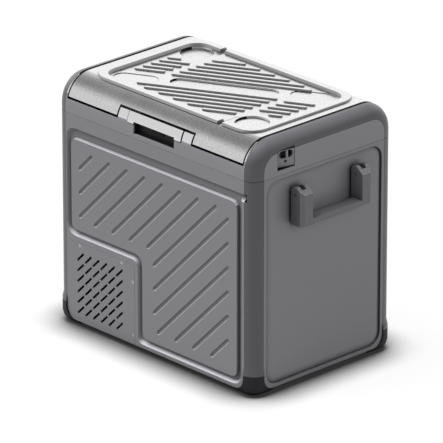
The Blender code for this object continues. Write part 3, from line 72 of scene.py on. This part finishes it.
# Lamps: strength as a share of full daylight on a facing surface, direction toward the lamp, spread
KEY_STRENGTH = 1.5
KEY_TOWARD = Vector((-0.35, -0.35, 0.87))
KEY_SPREAD = math.radians(35)
FILL_STRENGTH = 0.36
FILL_TOWARD = Vector((0.9, -0.2, 0.35))
FILL_SPREAD = math.radians(30)

# Sky brightness over the sine of the height: bright walls, dark band, soft ceiling
SKY = ((0.0, 1.0), (0.52, 1.0), (0.70, 0.22), (0.90, 0.24), (1.0, 0.8))

# The studio's open side, and the brightness of the walls from the far side (0) to the open one (1)
OPEN_SIDE = Vector((0.725, -0.688, 0.0))
WALLS = ((0.0, 1.0), (0.15, 1.0), (0.45, 0.66), (0.72, 0.60), (0.90, 0.30))
WALL_STRENGTH = 1.12

# Floor: what the object sees of it, and the painted soft shadow round the foot of the object
FLOOR_SIZE = 60.0
FLOOR_BOUNCE = 0.27
FLOOR_WHITE = 0.86
FLOOR_GLOW = 0.94
SHADOW_REACH = 0.075
SHADOW_SAMPLES = 16

# Openness round a floor point where the painted shadow is full and where it ends, and the light left in it
SHADOW_FULL = 0.5
SHADOW_END = 0.965
SHADOW_LIGHT = 0.02

# Painted shade in crevices: how far it reaches, how dark it is, the openness where it is full and where it
# ends
CREVICE_SHADE_REACH = 0.010
CREVICE_SHADE_TONE = 0.30
CREVICE_SHADE_FULL = 0.30
CREVICE_SHADE_END = 0.95
CREVICE_SHADE_SAMPLES = 8

# Painted light on faces that look up: how much lighter, and between which upward slopes
TOP_LIGHT_GAIN = 1.6
TOP_LIGHT_START = 0.30
TOP_LIGHT_FULL = 0.75

# Painted highlight along edges: how wide it is, and the turns of the surface where it is full and where it
# ends
EDGE_HIGHLIGHT_WIDTH = 0.0012
EDGE_HIGHLIGHT_FULL = 0.85
EDGE_HIGHLIGHT_END = 0.98
EDGE_HIGHLIGHT_SAMPLES = 4

# Soft shade on the big panels beside what stands proud of them
SHADE_REACH = 0.035
SHADE_TONE = 0.55

# Moulded plastics: detail of the grain, scale and detail of the tone patches, change of roughness, bump
GRAIN_DETAIL = 2.0
PATCH_SCALE = 26.0
PATCH_DETAIL = 4.0
ROUGHNESS_CHANGE = 0.06
GRAIN_STRENGTH = 0.35
GRAIN_DEPTH = 0.00025

# Bare metals: stretch, scale and detail of the drawn marks, their darkest and lightest share of the colour,
# and how much smoother and rougher they make the surface
MARK_STRETCH = (1, 1, 30)
MARK_SCALE = 120.0
MARK_DETAIL = 5.0
MARK_DARK = 0.82
MARK_LIGHT = 1.1
MARK_SMOOTHER = 0.08
MARK_ROUGHER = 0.1

# Lid: curve of its front, the axis of that curve, its lower edge, where its top starts,
# and the depth of the latch paddle behind the curve
TOP_RADIUS = 0.0505
TOP_AXIS = Vector((0, -0.11225, 0.4010))
LID_EDGE = 0.4160
TOP_START = 0.4495
LATCH_BACK = 0.0024

# Rim: how far its land lies below the lid's edge, where its tabs start, and their reach along the front
LAND_DROP = 0.006
TAB_DROP = 0.002
TAB_REACH = 0.1

# Which way a face looks, by a part of its normal: to the side, nearly level, up and down
SIDEWAYS = 0.8
LEVEL = 0.93
UPWARD = 0.9
DOWNWARD = -0.3

# Socket face on the right end: its near and far edges along Y, how far it slopes out, and its height
SOCKET_NEAR = -0.1090
SOCKET_FAR = -0.0696
SOCKET_DEEP = 0.2326
SOCKET_SLOPE = 0.0085 / 0.0394
SOCKET_LOW = 0.3963
SOCKET_HIGH = 0.4317
SOCKET_PROUD = 0.0003

# Painted black shade round the socket face where gaps would be: the side strip at its foot and head, the top
# one and the low one
SIDE_SHADE_FOOT = 0.0065
SIDE_SHADE_HEAD = 0.0080
TOP_SHADE = 0.0040
LOW_SHADE = 0.0018
BLACK_SLAB_DEPTH = 0.001

# The socket's third pin, and the web between the other two
PIN_ALONG = -0.0866
PIN_UP = 0.4073
PIN_RADIUS = 0.0024
PIN_SIDES = 24
WEB_NEAR = -0.0857
WEB_FAR = -0.0820
WEB_LOW = 0.4128
WEB_HIGH = 0.4258
WEB_DEPTH = 0.004

# Cleaning of the meshes: points closer than this are one, faces that turn less than this are one
MERGE_DISTANCE = 1e-6
FLAT_ANGLE = math.radians(0.6)

# Rounding of the edges of each piece, its steps, and how much of a turn counts as an edge
ROUNDING_STEPS = 2
EDGE_ANGLE = math.radians(28)
SMOOTH_ANGLE = math.radians(50)
ROUNDING = {
    "front_panel": 0.0008, "vent_cover": 0.0004, "rear_panel": 0.0006, "left_end_panel": 0.0008,
    "right_end_panel": 0.0008, "upper_rim": 0.0005, "lid_shell": 0.0006, "latch_paddle": 0.0007,
    "arch_left": 0.0005, "arch_right": 0.0005, "handle_left": 0.0018, "handle_right": 0.0018,
    "corner_post_front_left": 0.0004, "corner_post_front_right": 0.0004, "corner_post_rear_left": 0.0004,
    "corner_post_rear_right": 0.0004, "foot_front_left": 0.0006, "foot_front_right": 0.0006,
    "foot_rear_left": 0.0006, "foot_rear_right": 0.0006, "inlet_housing": 0.0004, "power_inlet": 0.0003,
    "control_bezel": 0.0004, "display_window": 0.0003, "button_power": 0.0005, "button_up": 0.0005,
    "button_down": 0.0005, "button_mode": 0.0005, "base_tray": 0.001, "inner_tub": 0.001, "lid_liner": 0.001,
    "lid_hinge_left": 0.0004, "lid_hinge_right": 0.0004, "body_hinge_left": 0.0004,
    "body_hinge_right": 0.0004, "handle_mount_left_front": 0.0004, "handle_mount_left_rear": 0.0004,
    "handle_mount_right_front": 0.0004, "handle_mount_right_rear": 0.0004, "finger_pocket": 0.0003,
    "lid_gasket": 0.0008,
}

# Nodes with a look of their own instead of that of their slot; the latch strike gets black that stands in for
# shade
OWN_LOOKS = {
    "handle_left": "handle", "handle_right": "handle", "latch_strike": "gap", "latch_paddle": "paddle",
}


def new_material(name):
    material = bpy.data.materials.new(name)
    material.use_nodes = True
    return material, material.node_tree.nodes, material.node_tree.links


def ranged(nodes, links, source, low, high, start=0.0, end=1.0):
    """A value from a source, moved from the range start to end into the range low to high."""
    node = nodes.new("ShaderNodeMapRange")
    node.inputs["From Min"].default_value = start
    node.inputs["From Max"].default_value = end
    node.inputs["To Min"].default_value = low
    node.inputs["To Max"].default_value = high
    links.new(source, node.inputs["Value"])
    return node.outputs["Result"]


def product(nodes, links, first, second):
    node = nodes.new("ShaderNodeMath")
    node.operation = "MULTIPLY"
    links.new(first, node.inputs[0])
    links.new(second, node.inputs[1])
    return node.outputs["Value"]


def noise(nodes, links, place, scale, detail):
    node = nodes.new("ShaderNodeTexNoise")
    node.inputs["Scale"].default_value = scale
    node.inputs["Detail"].default_value = detail
    links.new(place, node.inputs["Vector"])
    return node.outputs["Fac"]


def painted_crevice_shade(nodes, links, reach=CREVICE_SHADE_REACH, tone=CREVICE_SHADE_TONE):
    """Painted shade where a surface is hemmed in."""
    node = nodes.new("ShaderNodeAmbientOcclusion")
    node.samples = CREVICE_SHADE_SAMPLES
    node.inputs["Distance"].default_value = reach
    return ranged(nodes, links, node.outputs["AO"], tone, 1.0, CREVICE_SHADE_FULL, CREVICE_SHADE_END)


def painted_top_light(nodes, links, gain):
    """Painted light, paler plastic where a surface faces up."""
    split = nodes.new("ShaderNodeSeparateXYZ")
    links.new(nodes.new("ShaderNodeNewGeometry").outputs["Normal"], split.inputs["Vector"])
    return ranged(nodes, links, split.outputs["Z"], 1.0, 1.0 + gain, TOP_LIGHT_START, TOP_LIGHT_FULL)


def painted_edge_highlight(nodes, links, gain):
    """Painted highlight, paler plastic along edges, where the rounded normal leaves the plain one."""
    rounded = nodes.new("ShaderNodeBevel")
    rounded.samples = EDGE_HIGHLIGHT_SAMPLES
    rounded.inputs["Radius"].default_value = EDGE_HIGHLIGHT_WIDTH
    turn = nodes.new("ShaderNodeVectorMath")
    turn.operation = "DOT_PRODUCT"
    links.new(rounded.outputs["Normal"], turn.inputs[0])
    links.new(nodes.new("ShaderNodeNewGeometry").outputs["Normal"], turn.inputs[1])
    return ranged(nodes, links, turn.outputs["Value"], 1.0 + gain, 1.0, EDGE_HIGHLIGHT_FULL, EDGE_HIGHLIGHT_END)


def moulded(name, colour, roughness, grain=1.0, grain_size=0.0011, speckle=0.06, metallic=0.0, mottle=0.05,
            top_light=0.0, gloss=0.5, shade_in_crevices=CREVICE_SHADE_TONE, shade=None, edge_highlight=0.0):
    """Moulded plastic or lacquer: pebbled bump, uneven tone, painted shade in crevices, painted light on faces
    that look up, painted shade beside what stands proud, painted highlights on edges.
    """
    material, nodes, links = new_material(name)
    shader = nodes["Principled BSDF"]
    shader.inputs["Metallic"].default_value = metallic
    shader.inputs["Specular IOR Level"].default_value = gloss
    place = nodes.new("ShaderNodeTexCoord").outputs["Object"]
    fine = noise(nodes, links, place, 1 / grain_size, GRAIN_DETAIL)
    broad = noise(nodes, links, place, PATCH_SCALE, PATCH_DETAIL)
    tone = product(nodes, links, ranged(nodes, links, fine, 1 - speckle, 1 + speckle),
                   ranged(nodes, links, broad, 1 - mottle, 1 + mottle))
    # Painted shade in crevices, then the optional painted shade, painted light and painted edge highlights
    tone = product(nodes, links, tone, painted_crevice_shade(nodes, links, tone=shade_in_crevices))
    if shade:
        tone = product(nodes, links, tone, painted_crevice_shade(nodes, links, SHADE_REACH, shade))
    if top_light:
        tone = product(nodes, links, tone, painted_top_light(nodes, links, top_light))
    if edge_highlight:
        tone = product(nodes, links, tone, painted_edge_highlight(nodes, links, edge_highlight))
    tint = nodes.new("ShaderNodeMix")
    tint.data_type = "RGBA"
    tint.blend_type = "MULTIPLY"
    tint.inputs["Factor"].default_value = 1.0
    tint.inputs["A"].default_value = (*colour, 1)
    links.new(tone, tint.inputs["B"])
    links.new(tint.outputs["Result"], shader.inputs["Base Color"])
    uneven = ranged(nodes, links, broad, roughness - ROUGHNESS_CHANGE, roughness + ROUGHNESS_CHANGE)
    links.new(uneven, shader.inputs["Roughness"])
    bump = nodes.new("ShaderNodeBump")
    bump.inputs["Strength"].default_value = GRAIN_STRENGTH * grain
    bump.inputs["Distance"].default_value = GRAIN_DEPTH
    links.new(fine, bump.inputs["Height"])
    links.new(bump.outputs["Normal"], shader.inputs["Normal"])
    return material


def metal(name, colour, roughness):
    """Metal with faint drawn marks."""
    material, nodes, links = new_material(name)
    shader = nodes["Principled BSDF"]
    shader.inputs["Metallic"].default_value = 1.0
    place = nodes.new("ShaderNodeTexCoord").outputs["Object"]
    lines = nodes.new("ShaderNodeMapping")
    lines.inputs["Scale"].default_value = MARK_STRETCH
    links.new(place, lines.inputs["Vector"])
    marks = noise(nodes, links, lines.outputs["Vector"], MARK_SCALE, MARK_DETAIL)
    tone = nodes.new("ShaderNodeMix")
    tone.data_type = "RGBA"
    links.new(marks, tone.inputs["Factor"])
    tone.inputs["A"].default_value = (*[MARK_DARK * c for c in colour], 1)
    tone.inputs["B"].default_value = (*[min(1.0, MARK_LIGHT * c) for c in colour], 1)
    links.new(tone.outputs["Result"], shader.inputs["Base Color"])
    uneven = ranged(nodes, links, marks, roughness - MARK_SMOOTHER, roughness + MARK_ROUGHER)
    links.new(uneven, shader.inputs["Roughness"])
    return material


def build_materials():
    # Every moulded material gets painted shade in its crevices
    return {
        # Panel plastic: painted light on faces that look up, painted shade beside what stands proud, painted
        # edge highlights
        "panel_grey": moulded("panel_plastic", (0.168, 0.168, 0.180), 0.50, top_light=TOP_LIGHT_GAIN,
                              shade=SHADE_TONE, edge_highlight=0.5),
        "band_grey": moulded("band_plastic", (0.182, 0.182, 0.194), 0.48),
        # Lid lacquer: deep painted shade in its crevices
        "lid_silver": moulded("lid_lacquer", (0.79, 0.79, 0.795), 0.22, metallic=1.0, grain_size=0.0028,
                              speckle=0.25, mottle=0.03, shade_in_crevices=0.1),
        "paddle": moulded("paddle_lacquer", (0.88, 0.88, 0.89), 0.26, metallic=1.0, speckle=0.1, mottle=0.03),
        # Dark plastic and handle: painted light on faces that look up, painted edge highlights
        "dark_plastic": moulded("dark_plastic_grain", (0.060, 0.060, 0.065), 0.34, top_light=0.8, edge_highlight=0.6),
        "handle": moulded("handle_plastic", (0.095, 0.095, 0.102), 0.38, top_light=0.7, edge_highlight=0.6),
        # Black that stands in for shade in gaps and behind parts: painted shade
        "gap": moulded("gap_black", (0.004, 0.004, 0.005), 0.60, gloss=0.2),
        # A darker copy of the lid lacquer: painted shade on the walls of the lid's top
        "lid_wall_shade": moulded("lid_wall_painted_shade", (0.44, 0.44, 0.445), 0.34, metallic=0.9, speckle=0.15,
                            shade_in_crevices=0.1),
        "rubber": moulded("rubber_grain", (0.010, 0.010, 0.012), 0.55, gloss=0.25),
        "white_plastic": moulded("liner_plastic", (0.72, 0.73, 0.73), 0.35, grain=0.4, mottle=0.02,
                                 speckle=0.02),
        "foam": moulded("foam_cells", (0.70, 0.64, 0.46), 0.9, grain=2.5, grain_size=0.003, speckle=0.2),
        "aluminium": metal("sheet_aluminium", (0.75, 0.75, 0.76), 0.35),
        "steel": metal("plain_steel", (0.42, 0.42, 0.43), 0.4),
        "black_steel": moulded("black_paint", (0.02, 0.02, 0.02), 0.3, grain=0.5),
        "copper": metal("copper_tube", (0.78, 0.38, 0.22), 0.3),
        "board_green": moulded("board_lacquer", (0.03, 0.16, 0.06), 0.35, grain=0.5),
        "gloss_black": moulded("gloss_black_plastic", (0.010, 0.010, 0.012), 0.16, grain=0.1),
        "display_glass": moulded("display_glass_dark", (0.006, 0.010, 0.014), 0.10, grain=0.02),
    }


def lid_painted_shade(centre, normal):
    """Painted shade on the walls of the lid's top, painted black shade where it meets its neighbours."""
    if centre.z > TOP_START:
        return "lid_wall_shade" if normal.z < LEVEL else None
    return "gap" if abs(normal.x) > SIDEWAYS or normal.z < DOWNWARD else None


def paddle_painted_shade(centre, normal):
    """Painted black shade behind the paddle's own thickness."""
    deep = Vector((0, centre.y, centre.z)) - TOP_AXIS
    return "gap" if deep.length < TOP_RADIUS - LATCH_BACK else None


def rim_shade_and_finish(centre, normal):
    """Painted black shade on the land under the lid, silver on the front of the tabs beside the latch."""
    if centre.z < LID_EDGE - LAND_DROP:
        return None
    inward = normal.x * centre.x < 0 or abs(centre.x) < TAB_REACH
    if abs(normal.x) > SIDEWAYS and inward or normal.z > UPWARD:
        return "gap"
    return "paddle" if centre.z > LID_EDGE - TAB_DROP and centre.y < TOP_AXIS.y else None


# Face rules: painted shade on the lid and the paddle, painted shade and silver tabs on the rim
SHADES_AND_FINISHES = {"lid_shell": lid_painted_shade, "latch_paddle": paddle_painted_shade, "upper_rim": rim_shade_and_finish}


def refine(node, material, width, materials):
    """A copy of a CAD node with clean faces and rounded edges, which stands for it."""
    source = frame["nodes"][node]
    bm = bmesh.new()
    bm.from_mesh(source.data)
    bmesh.ops.remove_doubles(bm, verts=bm.verts[:], dist=MERGE_DISTANCE)
    bmesh.ops.dissolve_limit(bm, angle_limit=FLAT_ANGLE, verts=bm.verts[:], edges=bm.edges[:])
    sharp = [e for e in bm.edges if e.is_manifold and e.calc_face_angle() > EDGE_ANGLE]
    bmesh.ops.bevel(bm, geom=sharp, offset=width, offset_type="OFFSET", segments=ROUNDING_STEPS,
                    profile=0.5, affect="EDGES", clamp_overlap=True, loop_slide=True)
    extra = []
    # Faces that the rules pick get painted shade or another finish as extra materials
    if node in SHADES_AND_FINISHES:
        bm.normal_update()
        for face in bm.faces:
            shade_or_finish = SHADES_AND_FINISHES[node](face.calc_center_median(), face.normal)
            if shade_or_finish and shade_or_finish not in extra:
                extra.append(shade_or_finish)
            face.material_index = extra.index(shade_or_finish) + 1 if shade_or_finish else 0
    piece = add_piece(f"{node}_look", bm, material, source["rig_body"])
    for shade_or_finish in extra:
        piece.data.materials.append(materials[shade_or_finish])
    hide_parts(node)
    return piece


def add_piece(name, bm, material, body):
    """An object from a mesh, smooth but for its edges, that moves with a body."""
    mesh = bpy.data.meshes.new(name)
    bm.to_mesh(mesh)
    bm.free()
    piece = bpy.data.objects.new(name, mesh)
    bpy.context.scene.collection.objects.link(piece)
    mesh.materials.append(material)
    mesh.shade_smooth()
    mesh.set_sharp_from_angle(angle=SMOOTH_ANGLE)
    normals = piece.modifiers.new("normals", "WEIGHTED_NORMAL")
    normals.keep_sharp = True
    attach(piece, body)
    return piece


def socket_slab(name, outline, depth, material):
    """A thin slab on the sloped socket face, from its outline in Y and Z."""
    bm = bmesh.new()
    rings = []
    for lift in (-depth, SOCKET_PROUD):
        rings.append([bm.verts.new((SOCKET_DEEP + (y - SOCKET_NEAR) * SOCKET_SLOPE + lift, y, z))
                      for y, z in outline])
    count = len(outline)
    bm.faces.new(rings[1])
    bm.faces.new(rings[0][::-1])
    for i in range(count):
        j = (i + 1) % count
        bm.faces.new((rings[0][i], rings[0][j], rings[1][j], rings[1][i]))
    bmesh.ops.recalc_face_normals(bm, faces=bm.faces[:])
    piece = add_piece(name, bm, material, "body")


def rectangle(near, far, low, high):
    return ((near, low), (far, low), (far, high), (near, high))


def build_socket(materials):
    """Painted black shade in strips round the socket face where gaps would be, its third pin in black, and the
    web between the other two.
    """
    black = materials["gap"]
    foot = SOCKET_NEAR + SIDE_SHADE_FOOT
    head = SOCKET_NEAR + SIDE_SHADE_HEAD
    side_gap = ((SOCKET_NEAR, SOCKET_LOW), (foot, SOCKET_LOW), (head, SOCKET_HIGH),
                (SOCKET_NEAR, SOCKET_HIGH))
    socket_slab("socket_gap_side", side_gap, BLACK_SLAB_DEPTH, black)
    top_gap = rectangle(head, SOCKET_FAR, SOCKET_HIGH - TOP_SHADE, SOCKET_HIGH)
    socket_slab("socket_gap_top", top_gap, BLACK_SLAB_DEPTH, black)
    low_gap = rectangle(foot, SOCKET_FAR, SOCKET_LOW, SOCKET_LOW + LOW_SHADE)
    socket_slab("socket_gap_low", low_gap, BLACK_SLAB_DEPTH, black)
    turns = [math.tau * i / PIN_SIDES for i in range(PIN_SIDES)]
    pin = [(PIN_ALONG + PIN_RADIUS * math.cos(a), PIN_UP + PIN_RADIUS * math.sin(a)) for a in turns]
    socket_slab("socket_third_pin", pin, BLACK_SLAB_DEPTH, black)
    web = rectangle(WEB_NEAR, WEB_FAR, WEB_LOW, WEB_HIGH)
    socket_slab("socket_web", web, WEB_DEPTH, materials["band_grey"])


def paint(node, material):
    """A better material on a CAD node that stays as it is."""
    mesh = frame["nodes"][node].data
    mesh.materials.clear()
    mesh.materials.append(material)


def build_camera(scene):
    level = math.cos(CAMERA_ELEVATION)
    back = Vector((math.sin(CAMERA_AZIMUTH) * level, -math.cos(CAMERA_AZIMUTH) * level,
                   math.sin(CAMERA_ELEVATION)))
    right = Vector((math.cos(CAMERA_AZIMUTH), math.sin(CAMERA_AZIMUTH), 0))
    up = back.cross(right)
    camera = bpy.data.objects.new("camera", bpy.data.cameras.new("camera"))
    scene.collection.objects.link(camera)
    camera.data.sensor_width = SENSOR
    camera.data.lens = CAMERA_LENS
    camera.data.clip_end = CAMERA_REACH
    turn = Matrix((right, up, back)).transposed().to_4x4()
    place = CAMERA_TARGET + back * CAMERA_DISTANCE + right * CAMERA_RIGHT + up * CAMERA_UP
    camera.matrix_world = Matrix.Translation(place) @ turn
    scene.camera = camera


def build_lamp(scene, name, strength, toward, spread):
    lamp = bpy.data.objects.new(name, bpy.data.lights.new(name, "SUN"))
    lamp.data.energy = strength * math.pi
    lamp.data.angle = spread
    lamp.rotation_euler = toward.to_track_quat("Z", "Y").to_euler()
    lamp.visible_glossy = False
    scene.collection.objects.link(lamp)


def stepped(nodes, links, source, steps):
    """A value that goes through steps of position and brightness."""
    ramp = nodes.new("ShaderNodeValToRGB")
    links.new(source, ramp.inputs["Fac"])
    elements = ramp.color_ramp.elements
    for position, value in steps[1:-1]:
        elements.new(position)
    for element, (position, value) in zip(elements, steps):
        element.position = position
        element.color = (value, value, value, 1)
    return ramp.outputs["Color"]


def build_sky(scene):
    world = bpy.data.worlds.new("studio")
    scene.world = world
    world.use_nodes = True
    nodes = world.node_tree.nodes
    links = world.node_tree.links
    place = nodes.new("ShaderNodeTexCoord")
    split = nodes.new("ShaderNodeSeparateXYZ")
    links.new(place.outputs["Generated"], split.inputs["Vector"])
    facing = nodes.new("ShaderNodeVectorMath")
    facing.operation = "DOT_PRODUCT"
    links.new(place.outputs["Generated"], facing.inputs[0])
    facing.inputs[1].default_value = OPEN_SIDE
    side = ranged(nodes, links, facing.outputs["Value"], 0.0, 1.0, -1.0, 1.0)
    walls = stepped(nodes, links, side, WALLS)
    links.new(stepped(nodes, links, split.outputs["Z"], SKY), nodes["Background"].inputs["Color"])
    links.new(ranged(nodes, links, walls, 0.0, WALL_STRENGTH), nodes["Background"].inputs["Strength"])


def build_floor(scene):
    """A plain floor, white to the camera and in reflections, with a painted shadow of the object and a faint
    real one.
    """
    bm = bmesh.new()
    bmesh.ops.create_grid(bm, x_segments=1, y_segments=1, size=FLOOR_SIZE)
    mesh = bpy.data.meshes.new("floor")
    bm.to_mesh(mesh)
    bm.free()
    floor = bpy.data.objects.new("floor", mesh)
    scene.collection.objects.link(floor)
    material, nodes, links = new_material("floor")
    nodes.remove(nodes["Principled BSDF"])
    bounce = nodes.new("ShaderNodeBsdfDiffuse")
    bounce.inputs["Color"].default_value = (FLOOR_BOUNCE, FLOOR_BOUNCE, FLOOR_BOUNCE, 1)
    white = nodes.new("ShaderNodeBsdfDiffuse")
    white.inputs["Color"].default_value = (FLOOR_WHITE, FLOOR_WHITE, FLOOR_WHITE, 1)
    near = nodes.new("ShaderNodeAmbientOcclusion")
    near.samples = SHADOW_SAMPLES
    near.inputs["Distance"].default_value = SHADOW_REACH
    # The glow the camera and reflections see, darkened round the object: a painted shadow
    glow = nodes.new("ShaderNodeEmission")
    painted_shadow = ranged(nodes, links, near.outputs["AO"], SHADOW_LIGHT, 1.0, SHADOW_FULL, SHADOW_END)
    links.new(painted_shadow, glow.inputs["Strength"])
    seen = nodes.new("ShaderNodeMixShader")
    seen.inputs["Fac"].default_value = FLOOR_GLOW
    links.new(white.outputs["BSDF"], seen.inputs[1])
    links.new(glow.outputs["Emission"], seen.inputs[2])
    path = nodes.new("ShaderNodeLightPath")
    direct = nodes.new("ShaderNodeMath")
    direct.operation = "MAXIMUM"
    links.new(path.outputs["Is Camera Ray"], direct.inputs[0])
    links.new(path.outputs["Is Glossy Ray"], direct.inputs[1])
    clear = nodes.new("ShaderNodeMath")
    clear.operation = "MAXIMUM"
    links.new(direct.outputs["Value"], clear.inputs[0])
    links.new(path.outputs["Is Transmission Ray"], clear.inputs[1])
    either = nodes.new("ShaderNodeMixShader")
    links.new(clear.outputs["Value"], either.inputs["Fac"])
    links.new(bounce.outputs["BSDF"], either.inputs[1])
    links.new(seen.outputs["Shader"], either.inputs[2])
    links.new(either.outputs["Shader"], nodes["Material Output"].inputs["Surface"])
    mesh.materials.append(material)


def build_studio():
    scene = bpy.context.scene
    scene.view_settings.view_transform = "Standard"
    build_camera(scene)
    build_lamp(scene, "key_light", KEY_STRENGTH, KEY_TOWARD, KEY_SPREAD)
    build_lamp(scene, "fill_light", FILL_STRENGTH, FILL_TOWARD, FILL_SPREAD)
    build_sky(scene)
    build_floor(scene)


def main():
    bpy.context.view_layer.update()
    materials = build_materials()
    slots = {row["node"]: row["material_slot"] for row in frame["record"]["subparts"]}
    for node, slot in slots.items():
        material = materials[OWN_LOOKS.get(node, slot)]
        if node in ROUNDING:
            piece = refine(node, material, ROUNDING[node], materials)
        else:
            paint(node, material)
    build_socket(materials)
    build_studio()


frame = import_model()
main()
